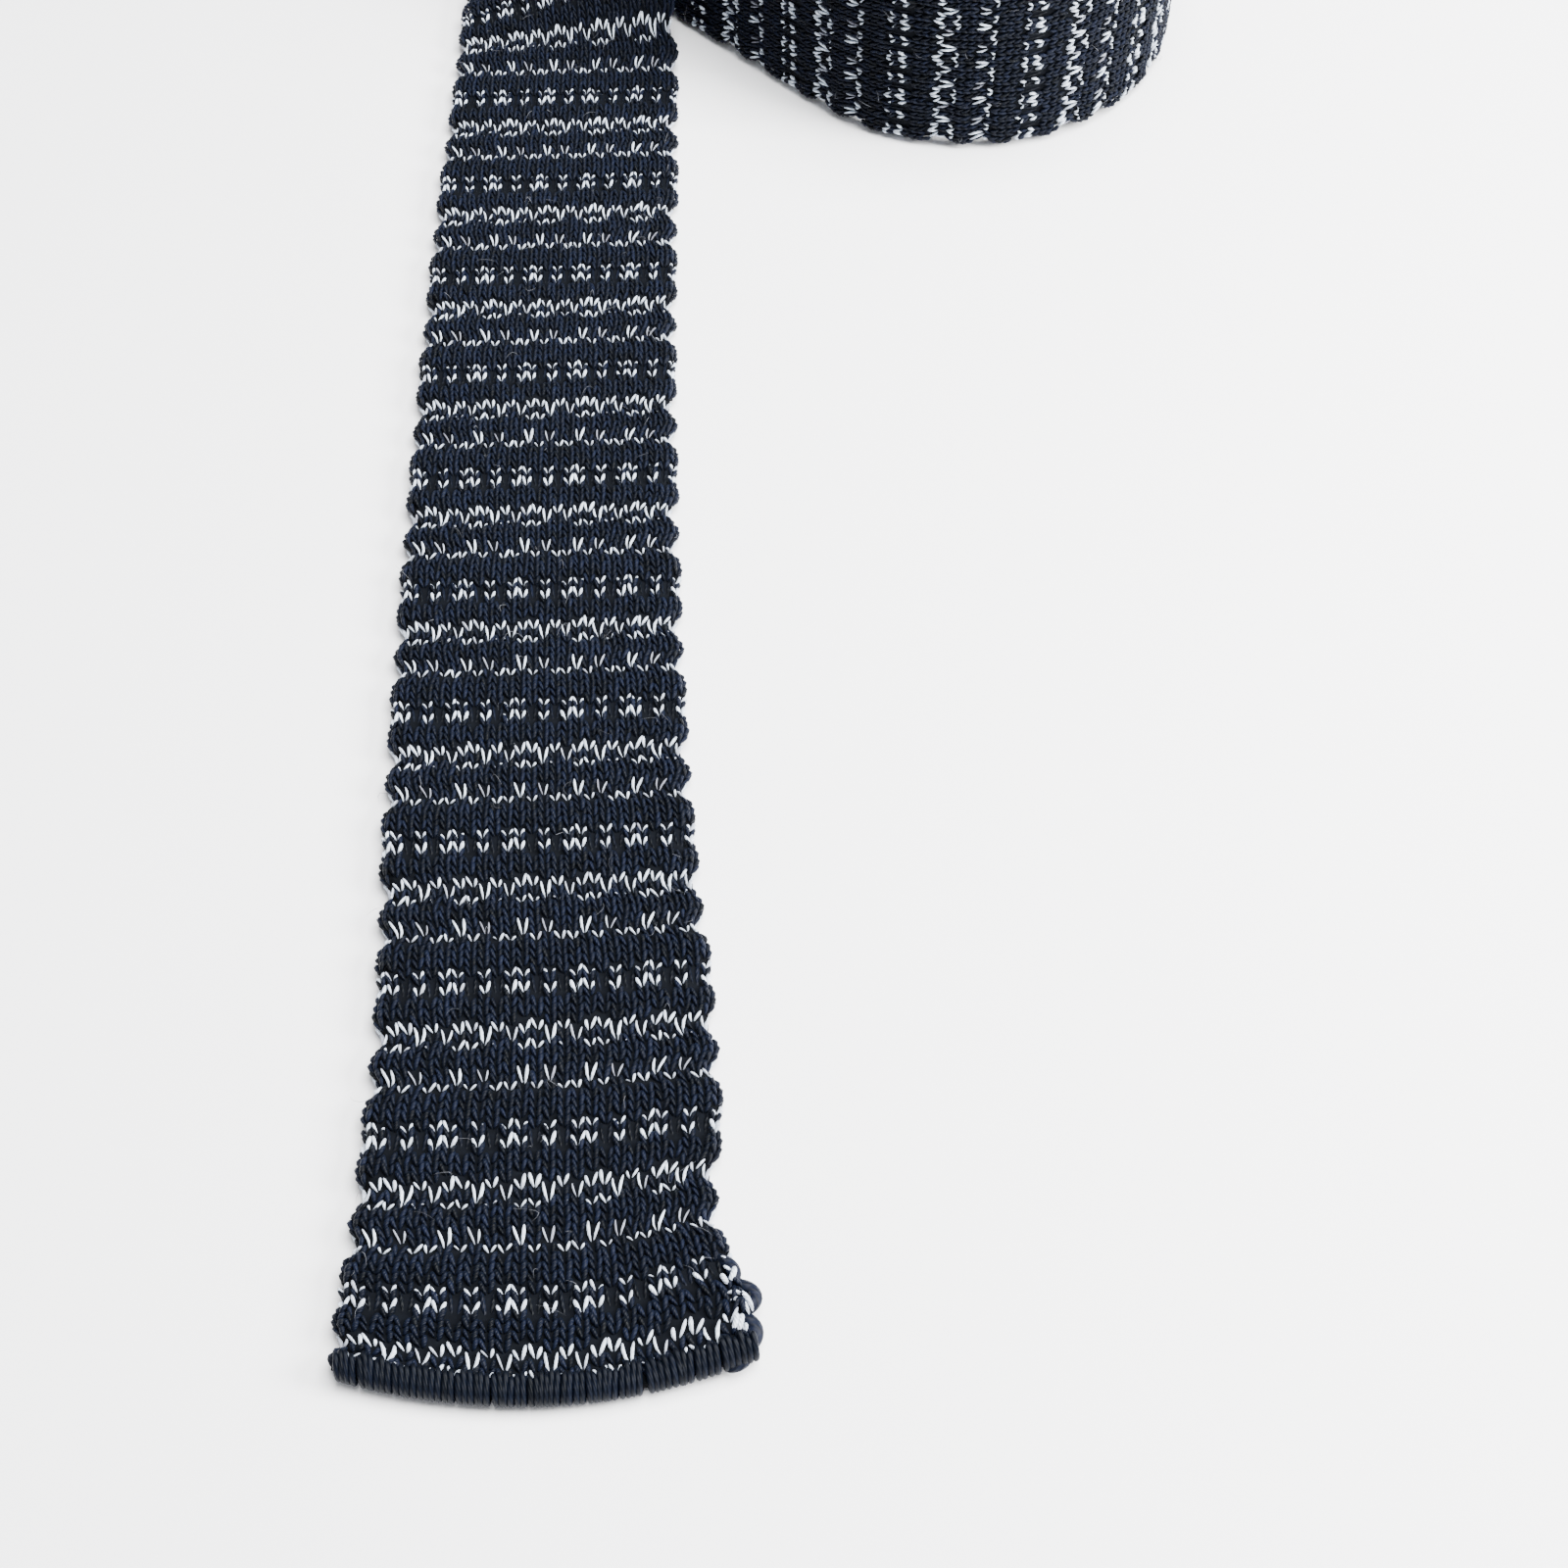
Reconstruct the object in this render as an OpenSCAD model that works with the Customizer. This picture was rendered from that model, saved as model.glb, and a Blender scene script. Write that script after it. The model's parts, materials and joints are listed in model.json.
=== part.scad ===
// Knitted square-end necktie, lying with its front blade flat on its back.
// Further up, the blade turns onto its left edge and the rest of the tie is
// rolled up on edge, in a loose coil with two centres.
// Frame: millimetres, +Z up, +Y up the blade. The origin is the middle of the
// front hem, on the surface that the tie lies on.

/* [Knitted band] */
// Width of the band away from the flare of the blade
band_w = 52.5; // [42:0.5:64]
// Thickness of the flattened knitted tube
band_t = 4.5; // [3.5:0.1:5.5]
// Width of the front blade at its hem
hem_w = 65; // [54:0.5:80]
// Distance up the blade in which two thirds of the flare is gone
flare_l = 90; // [60:1:120]
// Sideways bow of the blade as it lies
blade_bow = 4; // [0:0.5:6]

/* [Overcast hems] */
// Length of the overcast stitches along the band
hem_d = 5; // [3:0.5:7]
// How far the middle of the front hem hangs below its corners
hem_bow = 6; // [0:0.5:9]
// Thickness over the overcast stitches
hem_t = 5; // [4:0.1:6]

/* [Folds of the blade] */
// Distance from the hem to the fold above the tip
tip_fold_y = 95; // [75:1:115]
// Distance from the hem to the fold above the lower blade
lower_fold_y = 175; // [145:1:190]
// Distance from the hem to the fold above the middle blade
middle_fold_y = 255; // [240:1:285]
// Clearance between two bodies at a fold
fold_gap = 0.4; // [0.3:0.1:1]

/* [Turn onto the edge] */
// Distance from the hem to where the blade starts to turn
turn_start_y = 312; // [306:1:314]
// Length of the turn from flat to upright
turn_l = 63; // [58:1:66]

/* [Coil] */
// Distance from the hem to the coil's corner beside the flat blade
coil_y = 301.63; // [301:0.01:315]
// Gap from the edge of the flat blade to that corner of the coil
coil_side_gap = 29.02; // [29:0.01:45]
// Distance between the two centres of the coil
centre_d = 62; // [55:1:90]
// Direction from the back centre to the front centre, in degrees
centre_dir = -46; // [-50:1:-42]
// Radius of the outer wrap at the front centre
coil_r = 47; // [40:1:57]
// Spacing from one wrap to the next
wrap_pitch = 10; // [8:0.5:12]
// How far the upright band starts inside the left edge of the flat blade
stand_inset = 9; // [6:1:14]
// Length of the free straight end of the tail, without its hem
tail_l = 40; // [30:1:48]

/* [Keeper label] */
// Length of the free middle of the keeper label, across the blade
keeper_l = 38; // [28:1:40]
// Width of the keeper label, along the blade
keeper_w = 16; // [12:1:20]
// Thickness of the keeper label
keeper_t = 0.9; // [0.6:0.1:1.2]
// Length of each tacked end of the keeper label
tack_l = 3; // [2:0.5:4]
// Distance from the hem to the middle of the keeper label
keeper_y = 215; // [210:1:225]

/* [Fibre label] */
// Length of the free flap of the fibre label
flap_l = 22; // [15:1:28]
// Height of the fibre label, across the band
flap_h = 15; // [10:1:20]
// Thickness of the fibre label
flap_t = 0.8; // [0.6:0.1:1.2]
// Length of the sewn strip of the fibre label
strip_l = 3; // [2:0.5:5]
// Distance from the tail's fold to the sewn strip
strip_start = 6; // [4:1:10]

/* [Hidden] */
$fn = 96;

navy = "#181e2b";
label_grey = "#b9b6ae";
thread_black = "#101218";

// Steps along the outline of one flat stretch, and across the front hem
flat_steps = 6;
hem_steps = 12;
// Rings along the turn, and points across each face of it
turn_steps = 16;
turn_cols = 6;
// Cut-out beyond a face, so that no skin of zero thickness is left
overshoot = 1;

// The pocket that the flat keeper presses into the back of the blade
pocket_l = keeper_l + 2 * (fold_gap + tack_l);
pocket_d = keeper_t + fold_gap;

// Length of the blade's sideways bow, half the hem, and the cut-back beside a fold's half-round
bow_l = turn_start_y + turn_l / 2;
hem_half_d = hem_d / 2;
fold_cut = band_t / 2 + fold_gap;

// The two centres of the coil and the radii of its wraps at each. The corner beside the blade
// stays where it is, so a wider or thicker coil grows away from the turn.
corner = [band_w / 2 + coil_side_gap, coil_y];
front_c = corner - (coil_r + band_t) * heading(centre_dir - 90);
back_c = front_c - centre_d * heading(centre_dir);
stand_x = stand_inset - band_w / 2;
back_r = [back_c.x - stand_x, coil_r, coil_r - wrap_pitch];
front_r = [coil_r, coil_r - wrap_pitch, coil_r - 2 * wrap_pitch];

// Angles at which the band leaves each end of the coil
leave_back = [for (i = [0:2]) centre_dir + acos((back_r[i] - front_r[i]) / centre_d)];
leave_front = centre_dir - 90;

// The tail's fold: the end of the innermost wrap, and the way the tail runs
tail_at = front_c + front_r[2] * heading(leave_front);
tail_dir = leave_front - 90;

function heading(a) = [cos(a), sin(a)];
function arc_angle(r, l) = l / r * 180 / PI;
function smooth(t) = let (c = max(0, min(1, t))) c * c * (3 - 2 * c);

// Width and sideways place of the blade at a distance y from the hem
function blade_w(y) = band_w + (hem_w - band_w) * exp(-y / flare_l);
function blade_x(y) = -blade_bow * sin(180 * max(0, min(1, y / bow_l)));

// Distance up the blade of the hem's inner line, at a share s of its half width
function hem_line(s) = hem_bow * s * s + hem_half_d;

// Outline of a flat stretch from y0 to y1
function flat_outline(y0, y1) = let (
    ys = [for (i = [0:flat_steps]) y0 + (y1 - y0) * i / flat_steps]
) concat(
    [for (y = ys) [blade_x(y) + blade_w(y) / 2, y]],
    [for (i = [flat_steps:-1:0]) [blade_x(ys[i]) - blade_w(ys[i]) / 2, ys[i]]]
);

// One curved line across the hem, offset up the blade by dy
function hem_curve(dy) = [
    for (i = [0:hem_steps]) let (s = 2 * i / hem_steps - 1)
    [s * hem_w / 2, hem_line(s) + dy]
];

function reversed(list) = [for (i = [len(list) - 1:-1:0]) list[i]];

// Roll of the band at a distance y from the hem, 0 flat and 90 upright
function roll(y) = 90 * smooth((y - turn_start_y) / turn_l);

// A point of the turning band: y up the tie, u across from the left edge, v above the middle
function turn_point(y, u, v) = let (
    a = roll(y),
    flat_x = blade_x(y) - blade_w(y) / 2,
    left_x = flat_x + (stand_x - flat_x) * smooth((y - turn_start_y) / turn_l)
) [
    left_x + u * cos(a) - v * sin(a),
    y,
    band_t / 2 * cos(a) + u * sin(a) + v * cos(a)
];

// One ring of the turning band, round its rectangular section
function turn_ring(y) = let (w = blade_w(y)) concat(
    [for (i = [0:turn_cols]) turn_point(y, w * i / turn_cols, -band_t / 2)],
    [for (i = [turn_cols:-1:0]) turn_point(y, w * i / turn_cols, band_t / 2)]
);

// The two triangles of an end cap between its columns j and j + 1
function cap_faces(j, ring) = [
    [j, j + 1, ring - 2 - j],
    [j, ring - 2 - j, ring - 1 - j]
];

// The two triangles that join ring i to the next one between points j and j + 1
function side_faces(i, j, ring) = let (k = (j + 1) % ring) [
    [i * ring + j, (i + 1) * ring + j, (i + 1) * ring + k],
    [i * ring + j, (i + 1) * ring + k, i * ring + k]
];

// A flat stretch of the blade from y0 to y1
module flat_stretch(y0, y1) {
    linear_extrude(height = band_t) polygon(flat_outline(y0, y1));
}

// The half-round end of a flat stretch, on the axis of its fold
module fold_round(y) {
    translate([blade_x(y) - blade_w(y) / 2, y, band_t / 2])
        rotate([0, 90, 0])
            cylinder(h = blade_w(y), d = band_t);
}

// An upright arc of band, running clockwise from one angle down to the other
module band_arc(centre, r, from, to) {
    translate([centre.x, centre.y, 0])
        rotate([0, 0, to])
            rotate_extrude(angle = from - to)
                translate([r - band_t / 2, 0])
                    square([band_t, band_w]);
}

// An upright straight of band, between two circles that it touches at one angle
module band_straight(c0, r0, c1, r1, angle) {
    start = c0 + r0 * heading(angle);
    length = norm(c1 + r1 * heading(angle) - start);
    along(start, angle - 90)
        translate([0, -band_t / 2, 0])
            cube([length, band_t, band_w]);
}

// Places its children with X along the band, from a point and a direction
module along(point, direction) {
    translate([point.x, point.y, 0])
        rotate([0, 0, direction])
            children();
}

module front_hem() {
    color(navy)
        linear_extrude(height = hem_t)
            polygon(concat(hem_curve(-hem_d), reversed(hem_curve(0))));
}

module blade_tip() {
    sides = flat_outline(hem_line(1), tip_fold_y);
    right = [for (i = [0:flat_steps]) sides[i]];
    left = [for (i = [flat_steps + 1:len(sides) - 1]) sides[i]];
    color(navy) {
        linear_extrude(height = band_t)
            polygon(concat(hem_curve(0), right, left));
        fold_round(tip_fold_y);
    }
}

module blade_lower() {
    color(navy) {
        flat_stretch(tip_fold_y + fold_cut, lower_fold_y);
        fold_round(lower_fold_y);
    }
}

module blade_middle() {
    color(navy) {
        difference() {
            flat_stretch(lower_fold_y + fold_cut, middle_fold_y);
            translate([
                blade_x(keeper_y) - pocket_l / 2,
                keeper_y - keeper_w / 2 - fold_gap,
                -overshoot
            ])
                cube([pocket_l, keeper_w + 2 * fold_gap, pocket_d + overshoot]);
        }
        fold_round(middle_fold_y);
    }
}

module blade_upper() {
    color(navy) flat_stretch(middle_fold_y + fold_cut, turn_start_y);
}

module blade_turn() {
    ring = 2 * (turn_cols + 1);
    last = turn_steps * ring;
    rings = [for (i = [0:turn_steps]) turn_ring(turn_start_y + turn_l * i / turn_steps)];
    color(navy)
        polyhedron(
            points = [for (r = rings) each r],
            faces = concat(
                [for (j = [0:turn_cols - 1], f = cap_faces(j, ring)) f],
                [for (j = [0:turn_cols - 1], f = cap_faces(j, ring)) [for (k = f) last + ring - 1 - k]],
                [for (i = [0:turn_steps - 1], j = [0:ring - 1], f = side_faces(i, j, ring)) f]
            ),
            convexity = 4
        );
}

module blade_stand() {
    start_y = turn_start_y + turn_l;
    color(navy) {
        translate([stand_x - band_t / 2, start_y, 0])
            cube([band_t, back_c.y - start_y, band_w]);
        translate([stand_x, back_c.y, 0])
            cylinder(h = band_w, d = band_t);
    }
}

module keeper_label() {
    color(label_grey)
        translate([blade_x(keeper_y) - keeper_l / 2, keeper_y - keeper_w / 2, 0])
            cube([keeper_l, keeper_w, keeper_t]);
}

// A tacked end of the keeper, sewn through into the back of the blade
module keeper_tack(side) {
    color(thread_black)
        translate([
            blade_x(keeper_y) + side * (keeper_l + tack_l) / 2 + side * fold_gap - tack_l / 2,
            keeper_y - keeper_w / 2,
            0
        ])
            cube([tack_l, keeper_w, pocket_d]);
}

module keeper_tack_left() {
    keeper_tack(-1);
}

module keeper_tack_right() {
    keeper_tack(1);
}

module outer_wrap_back() {
    color(navy)
        band_arc(back_c, back_r[0], 180 - arc_angle(back_r[0], fold_cut), leave_back[0]);
}

module outer_wrap_right() {
    color(navy) band_straight(back_c, back_r[0], front_c, front_r[0], leave_back[0]);
}

module outer_wrap_front() {
    color(navy) band_arc(front_c, front_r[0], leave_back[0], leave_front);
}

module middle_wrap_left() {
    color(navy) band_straight(front_c, front_r[0], back_c, back_r[1], leave_front);
}

module middle_wrap_back() {
    color(navy) band_arc(back_c, back_r[1], leave_front + 360, leave_back[1]);
}

module middle_wrap_right() {
    color(navy) band_straight(back_c, back_r[1], front_c, front_r[1], leave_back[1]);
}

module middle_wrap_front() {
    color(navy) band_arc(front_c, front_r[1], leave_back[1], leave_front);
}

module inner_wrap_left() {
    color(navy) band_straight(front_c, front_r[1], back_c, back_r[2], leave_front);
}

module inner_wrap_back() {
    color(navy) band_arc(back_c, back_r[2], leave_front + 360, leave_back[2]);
}

module inner_wrap_right() {
    color(navy) band_straight(back_c, back_r[2], front_c, front_r[2], leave_back[2]);
}

module inner_wrap_front() {
    color(navy)
        band_arc(front_c, front_r[2], leave_back[2], leave_front + arc_angle(front_r[2], fold_cut));
}

module tail_end() {
    color(navy) {
        along(tail_at, tail_dir)
            translate([0, -band_t / 2, 0])
                cube([tail_l, band_t, band_w]);
        translate([tail_at.x, tail_at.y, 0])
            cylinder(h = band_w, d = band_t);
    }
}

module tail_hem() {
    color(navy)
        along(tail_at, tail_dir)
            translate([tail_l, -hem_t / 2, 0])
                cube([hem_d, hem_t, band_w]);
}

module fibre_label_strip() {
    color(label_grey)
        along(tail_at, tail_dir)
            translate([strip_start, -band_t / 2 - fold_gap - flap_t, (band_w - flap_h) / 2])
                cube([strip_l, fold_gap + flap_t, flap_h]);
}

module fibre_label_flap() {
    pivot = strip_start + strip_l + flap_t / 2 + fold_gap;
    color(label_grey)
        along(tail_at, tail_dir)
            translate([pivot, -band_t / 2 - fold_gap - flap_t / 2, (band_w - flap_h) / 2]) {
                translate([0, -flap_t / 2, 0])
                    cube([flap_l, flap_t, flap_h]);
                cylinder(h = flap_h, d = flap_t);
            }
}

front_hem();
blade_tip();
blade_lower();
blade_middle();
blade_upper();
blade_turn();
blade_stand();
keeper_label();
keeper_tack_left();
keeper_tack_right();
outer_wrap_back();
outer_wrap_right();
outer_wrap_front();
middle_wrap_left();
middle_wrap_back();
middle_wrap_right();
middle_wrap_front();
inner_wrap_left();
inner_wrap_back();
inner_wrap_right();
inner_wrap_front();
tail_end();
tail_hem();
fibre_label_strip();
fibre_label_flap();
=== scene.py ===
"""Looks of a knitted square-end necktie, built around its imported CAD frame.

The tie is one flattened tube of thick knit in two wool yarns. Its front blade lies flat on its
back, turns onto its left edge further up, and the neck band and tail are rolled up on edge.
Every knitted piece is laid out flat first, in wales across the tube and courses along it, and is
then wrapped round the flattened tube and along the tie's own path. Lengths are in metres.
"""

from __future__ import annotations

import json
import logging
import math
from collections.abc import Callable
from dataclasses import dataclass, replace
from enum import Enum

import bmesh
import bpy
import numpy as np
from mathutils import Euler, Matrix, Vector

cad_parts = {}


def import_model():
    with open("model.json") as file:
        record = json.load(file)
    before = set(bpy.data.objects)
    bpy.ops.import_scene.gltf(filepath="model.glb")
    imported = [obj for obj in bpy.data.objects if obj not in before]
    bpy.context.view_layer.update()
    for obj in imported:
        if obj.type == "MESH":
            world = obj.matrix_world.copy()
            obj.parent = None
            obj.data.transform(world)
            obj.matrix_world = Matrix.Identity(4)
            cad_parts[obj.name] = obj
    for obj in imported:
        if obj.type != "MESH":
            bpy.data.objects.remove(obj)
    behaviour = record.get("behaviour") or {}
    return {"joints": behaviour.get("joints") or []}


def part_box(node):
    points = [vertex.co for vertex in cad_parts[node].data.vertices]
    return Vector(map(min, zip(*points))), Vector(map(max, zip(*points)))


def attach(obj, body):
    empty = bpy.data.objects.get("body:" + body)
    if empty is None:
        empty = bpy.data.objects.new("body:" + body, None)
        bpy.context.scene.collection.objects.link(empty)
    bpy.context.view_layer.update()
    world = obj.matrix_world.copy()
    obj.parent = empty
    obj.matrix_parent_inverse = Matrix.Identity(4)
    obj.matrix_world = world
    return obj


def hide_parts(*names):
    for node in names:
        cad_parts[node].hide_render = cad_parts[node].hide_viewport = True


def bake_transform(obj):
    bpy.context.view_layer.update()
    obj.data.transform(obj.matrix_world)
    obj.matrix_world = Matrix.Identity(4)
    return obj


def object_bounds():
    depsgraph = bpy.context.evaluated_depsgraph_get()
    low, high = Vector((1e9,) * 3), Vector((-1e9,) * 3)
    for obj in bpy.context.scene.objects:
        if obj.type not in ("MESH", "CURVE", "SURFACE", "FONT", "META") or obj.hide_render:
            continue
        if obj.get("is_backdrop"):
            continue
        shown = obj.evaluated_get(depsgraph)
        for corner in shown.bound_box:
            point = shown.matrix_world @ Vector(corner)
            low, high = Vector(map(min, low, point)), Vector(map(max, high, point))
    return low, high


LOG = logging.getLogger("necktie")
MM = 0.001
SEED = 20
UPRIGHT = (0.0, 0.0, 1.0)


# ---------------------------------------------------------------- colours and nodes


def linear(hex_colour: str) -> tuple[float, float, float, float]:
    """Turns an sRGB hex colour into linear RGBA.

    Args:
        hex_colour: six hex digits after a hash sign.

    Returns:
        Red, green, blue and an alpha of 1.
    """
    parts = [int(hex_colour[i : i + 2], 16) / 255 for i in (1, 3, 5)]
    curve = [c / 12.92 if c <= 0.04045 else ((c + 0.055) / 1.055) ** 2.4 for c in parts]
    return (curve[0], curve[1], curve[2], 1.0)


def add_node(
    tree: bpy.types.NodeTree,
    kind: str,
    settings: dict[str, object] | None = None,
    inputs: dict[str | int, object] | None = None,
) -> bpy.types.Node:
    """Adds one shader node with its settings, its values and its links.

    Args:
        tree: the node tree that takes the node.
        kind: the node's type, without the ShaderNode in front.
        settings: attributes of the node, by name.
        inputs: values, or sockets to link from, by the input's name or number.

    Returns:
        The new node.
    """
    node = tree.nodes.new("ShaderNode" + kind)
    for name, value in (settings or {}).items():
        setattr(node, name, value)
    for name, value in (inputs or {}).items():
        if isinstance(value, bpy.types.NodeSocket):
            tree.links.new(value, node.inputs[name])
        else:
            node.inputs[name].default_value = value
    return node


class Surface:
    """A material being made, with short ways to add the nodes that the finishes share."""

    def __init__(self, name: str) -> None:
        """Makes an empty material.

        Args:
            name: its name.
        """
        self.material = bpy.data.materials.new(name)
        self.material.use_nodes = True
        self.tree = self.material.node_tree
        self.tree.nodes.clear()
        self.output = add_node(self.tree, "OutputMaterial")

    def noise(self, size: float, detail: float) -> bpy.types.NodeSocket:
        """Noise in the object's own coordinates, with grains of a given size in metres."""
        place = add_node(self.tree, "TexCoord").outputs["Object"]
        inputs = {"Vector": place, "Scale": 1 / size, "Detail": detail}
        return add_node(self.tree, "TexNoise", {}, inputs).outputs["Fac"]

    def mix(
        self, share: object, first: object, second: object, blend: str = "MIX"
    ) -> bpy.types.NodeSocket:
        """Mixes two colours.

        Args:
            share: the second colour's share, as a number or a socket.
            first: the first colour, or a socket.
            second: the second colour, or a socket.
            blend: how they are mixed.

        Returns:
            The mixed colour.
        """
        settings = {"data_type": "RGBA", "blend_type": blend}
        return add_node(self.tree, "Mix", settings, {0: share, 6: first, 7: second}).outputs[2]

    def remap(
        self, value: bpy.types.NodeSocket, before: tuple[float, float], after: tuple[float, float]
    ) -> bpy.types.NodeSocket:
        """Moves a value from one range to another.

        Args:
            value: the value.
            before: its range.
            after: the new range.

        Returns:
            The moved value.
        """
        names = ("From Min", "From Max", "To Min", "To Max")
        inputs = {"Value": value, **dict(zip(names, (*before, *after)))}
        return add_node(self.tree, "MapRange", {}, inputs).outputs["Result"]

    def bump(
        self, height: bpy.types.NodeSocket, strength: float, distance: float
    ) -> bpy.types.NodeSocket:
        """Gives the surface relief.

        Args:
            height: the relief from 0 to 1.
            strength: how much of it shows.
            distance: its depth in metres.

        Returns:
            The normal.
        """
        inputs = {"Height": height, "Strength": strength, "Distance": distance}
        return add_node(self.tree, "Bump", {}, inputs).outputs["Normal"]

    def finish(self, inputs: dict[str, object]) -> bpy.types.Material:
        """Adds the shader with its values and hands over the finished material."""
        shader = add_node(self.tree, "BsdfPrincipled", {}, inputs)
        self.tree.links.new(shader.outputs["BSDF"], self.output.inputs["Surface"])
        return self.material


def mesh_of(bm: bmesh.types.BMesh, name: str) -> bpy.types.Mesh:
    """Turns a bmesh into a mesh.

    Args:
        bm: the bmesh, which is freed.
        name: the mesh's name.

    Returns:
        The mesh.
    """
    mesh = bpy.data.meshes.new(name)
    bm.to_mesh(mesh)
    bm.free()
    return mesh


def add_object(mesh: bpy.types.Mesh, material: bpy.types.Material) -> bpy.types.Object:
    """Puts a smooth mesh with one material into the scene, at the origin.

    Args:
        mesh: the mesh, whose name the object takes.
        material: its only material.

    Returns:
        The object.
    """
    mesh.polygons.foreach_set("use_smooth", np.ones(len(mesh.polygons), bool))
    mesh.materials.append(material)
    obj = bpy.data.objects.new(mesh.name, mesh)
    bpy.context.scene.collection.objects.link(obj)
    return obj


@dataclass(frozen=True)
class WoolYarn:
    """A soft two-ply wool yarn, spun and then knitted.

    To the eye it is matt, a little lighter where its hairs catch the light along the top of
    each loop, and darker down between its plies. Both are partly painted shade: the shade
    attribute darkens each loop towards its two ends, and the ply bands mix a painted shade
    colour into the grooves between the plies.
    """

    name: str
    groove_shade: str
    dim: str
    bright: str
    sheen: float
    sheen_tint: str
    roughness: float = 0.82
    gloss: float = 0.25
    ply_turns: float = 3.0
    ply_depth: float = 0.12 * MM
    fibre_size: float = 0.5 * MM

    def material(self) -> bpy.types.Material:
        """Builds the yarn's material, from the loops' own UV map and shade attribute.

        Returns:
            The material.
        """
        surface = Surface(self.name)
        tree = surface.tree
        shade = add_node(tree, "Attribute", {"attribute_name": "shade"})
        uv = add_node(tree, "UVMap", {"uv_map": "ply"})
        ply = add_node(
            tree,
            "TexWave",
            {"wave_type": "BANDS", "bands_direction": "DIAGONAL", "wave_profile": "SIN"},
            {"Vector": uv.outputs["UV"], "Scale": self.ply_turns, "Distortion": 0.6, "Detail": 1.0},
        ).outputs["Fac"]
        # The shade attribute mixes dim into bright: a random tone from stitch to stitch, with painted
        # shade towards each loop's ends.
        body = surface.mix(shade.outputs["Fac"], linear(self.dim), linear(self.bright))
        # Painted shade: the ply bands mix a darker colour into the grooves between the plies.
        depth = surface.remap(ply, (0.0, 0.5), (0.45, 0.0))
        groove_shaded = surface.mix(depth, body, linear(self.groove_shade))
        fibre = surface.remap(surface.noise(self.fibre_size, 3.0), (0.35, 0.7), (0.75, 1.25))
        return surface.finish(
            {
                "Base Color": surface.mix(1.0, groove_shaded, fibre, "MULTIPLY"),
                "Roughness": self.roughness,
                "Specular IOR Level": self.gloss,
                "Sheen Weight": self.sheen,
                "Sheen Roughness": 0.5,
                "Sheen Tint": linear(self.sheen_tint),
                "Normal": surface.bump(ply, 0.6, self.ply_depth),
            }
        )


@dataclass(frozen=True)
class KnitGround:
    """The knit's own depth: the backs of the loops, seen as dark gaps between the stitches.

    To the eye it is a near-black navy with faint grains about a course long; the near-black is painted
    shade in the gaps between the stitches.
    """

    name: str = "knit_ground_navy_wool_painted_shade"
    dark: str = "#010203"
    light: str = "#070a11"
    rib: float = 1.64 * MM
    relief: float = 0.3 * MM

    def material(self) -> bpy.types.Material:
        """Builds the ground's material."""
        surface = Surface(self.name)
        noise = surface.noise(self.rib, 4.0)
        # The dark and light navies are painted shade in the gaps, with a random grain between them.
        return surface.finish(
            {
                "Base Color": surface.mix(noise, linear(self.dark), linear(self.light)),
                "Roughness": 0.95,
                "Specular IOR Level": 0.1,
                "Normal": surface.bump(noise, 0.8, self.relief),
            }
        )


# ---------------------------------------------------------------- sizes taken from the frame


@dataclass(frozen=True)
class TieSizes:
    """The tie's sizes and places, read from the frame's nodes and joints."""

    band_w: float
    band_t: float
    hem_w: float
    hem_d: float
    hem_t: float
    hem_bow: float
    turn_start: float
    turn_end: float
    stand: Vector
    back_radii: tuple[float, float, float]
    front_radii: tuple[float, float, float]
    back_centre: Vector
    front_centre: Vector
    tail_at: Vector
    folds: dict[str, Vector]
    flare_l: float = 90 * MM
    blade_bow: float = 4 * MM
    tail_l: float = 40 * MM

    @classmethod
    def from_frame(cls, joints: list[dict]) -> "TieSizes":
        """Reads the sizes.

        Args:
            joints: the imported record's joints.

        Returns:
            The sizes.
        """
        folds = {j["name"]: Vector(j.get("pos_m") or (0, 0, 0)) for j in joints}
        blade_low, blade_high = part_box("blade_upper")
        hem_low, hem_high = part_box("front_hem")
        turn_low, turn_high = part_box("blade_turn")
        outer_low, outer_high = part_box("outer_wrap_front")
        inner_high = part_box("inner_wrap_front")[1]
        back_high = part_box("outer_wrap_back")[1]
        half_t = (blade_high.z - blade_low.z) / 2
        pitch = (outer_high.x - inner_high.x) / 2
        stand = folds["coil_unroll"]
        tail_at = folds["tail_swing"]
        # The outer wrap's front circle touches its box on two sides, and the tail's fold lies
        # on the circle two pitches inside it: those three facts give its radius.
        side_x = outer_high.x - half_t
        side_y = outer_low.y + half_t
        p = tail_at.x - side_x
        q = side_y - tail_at.y
        b = p + q + 2 * pitch
        radius = -b - math.sqrt(b * b - (p * p + q * q - 4 * pitch * pitch))
        back_r = back_high.y - half_t - stand.y
        return cls(
            band_w=outer_high.z - outer_low.z,
            band_t=blade_high.z - blade_low.z,
            hem_w=hem_high.x - hem_low.x,
            hem_d=-2 * hem_low.y,
            hem_t=hem_high.z - hem_low.z,
            hem_bow=hem_high.y + hem_low.y,
            turn_start=turn_low.y,
            turn_end=turn_high.y,
            stand=stand,
            back_radii=(back_r, radius, radius - pitch),
            front_radii=(radius, radius - pitch, radius - 2 * pitch),
            back_centre=Vector((stand.x + back_r, stand.y)),
            front_centre=Vector((side_x - radius, side_y + radius)),
            tail_at=tail_at,
            folds=folds,
        )

    def blade_w(self, y: np.ndarray) -> np.ndarray:
        """Width of the blade at each distance y from the hem."""
        return self.band_w + (self.hem_w - self.band_w) * np.exp(-np.maximum(y, 0) / self.flare_l)

    def blade_x(self, y: np.ndarray) -> np.ndarray:
        """Sideways place of the blade's middle at each distance y from the hem."""
        length = (self.turn_start + self.turn_end) / 2
        return -self.blade_bow * np.sin(np.pi * np.clip(y / length, 0, 1))


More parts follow.
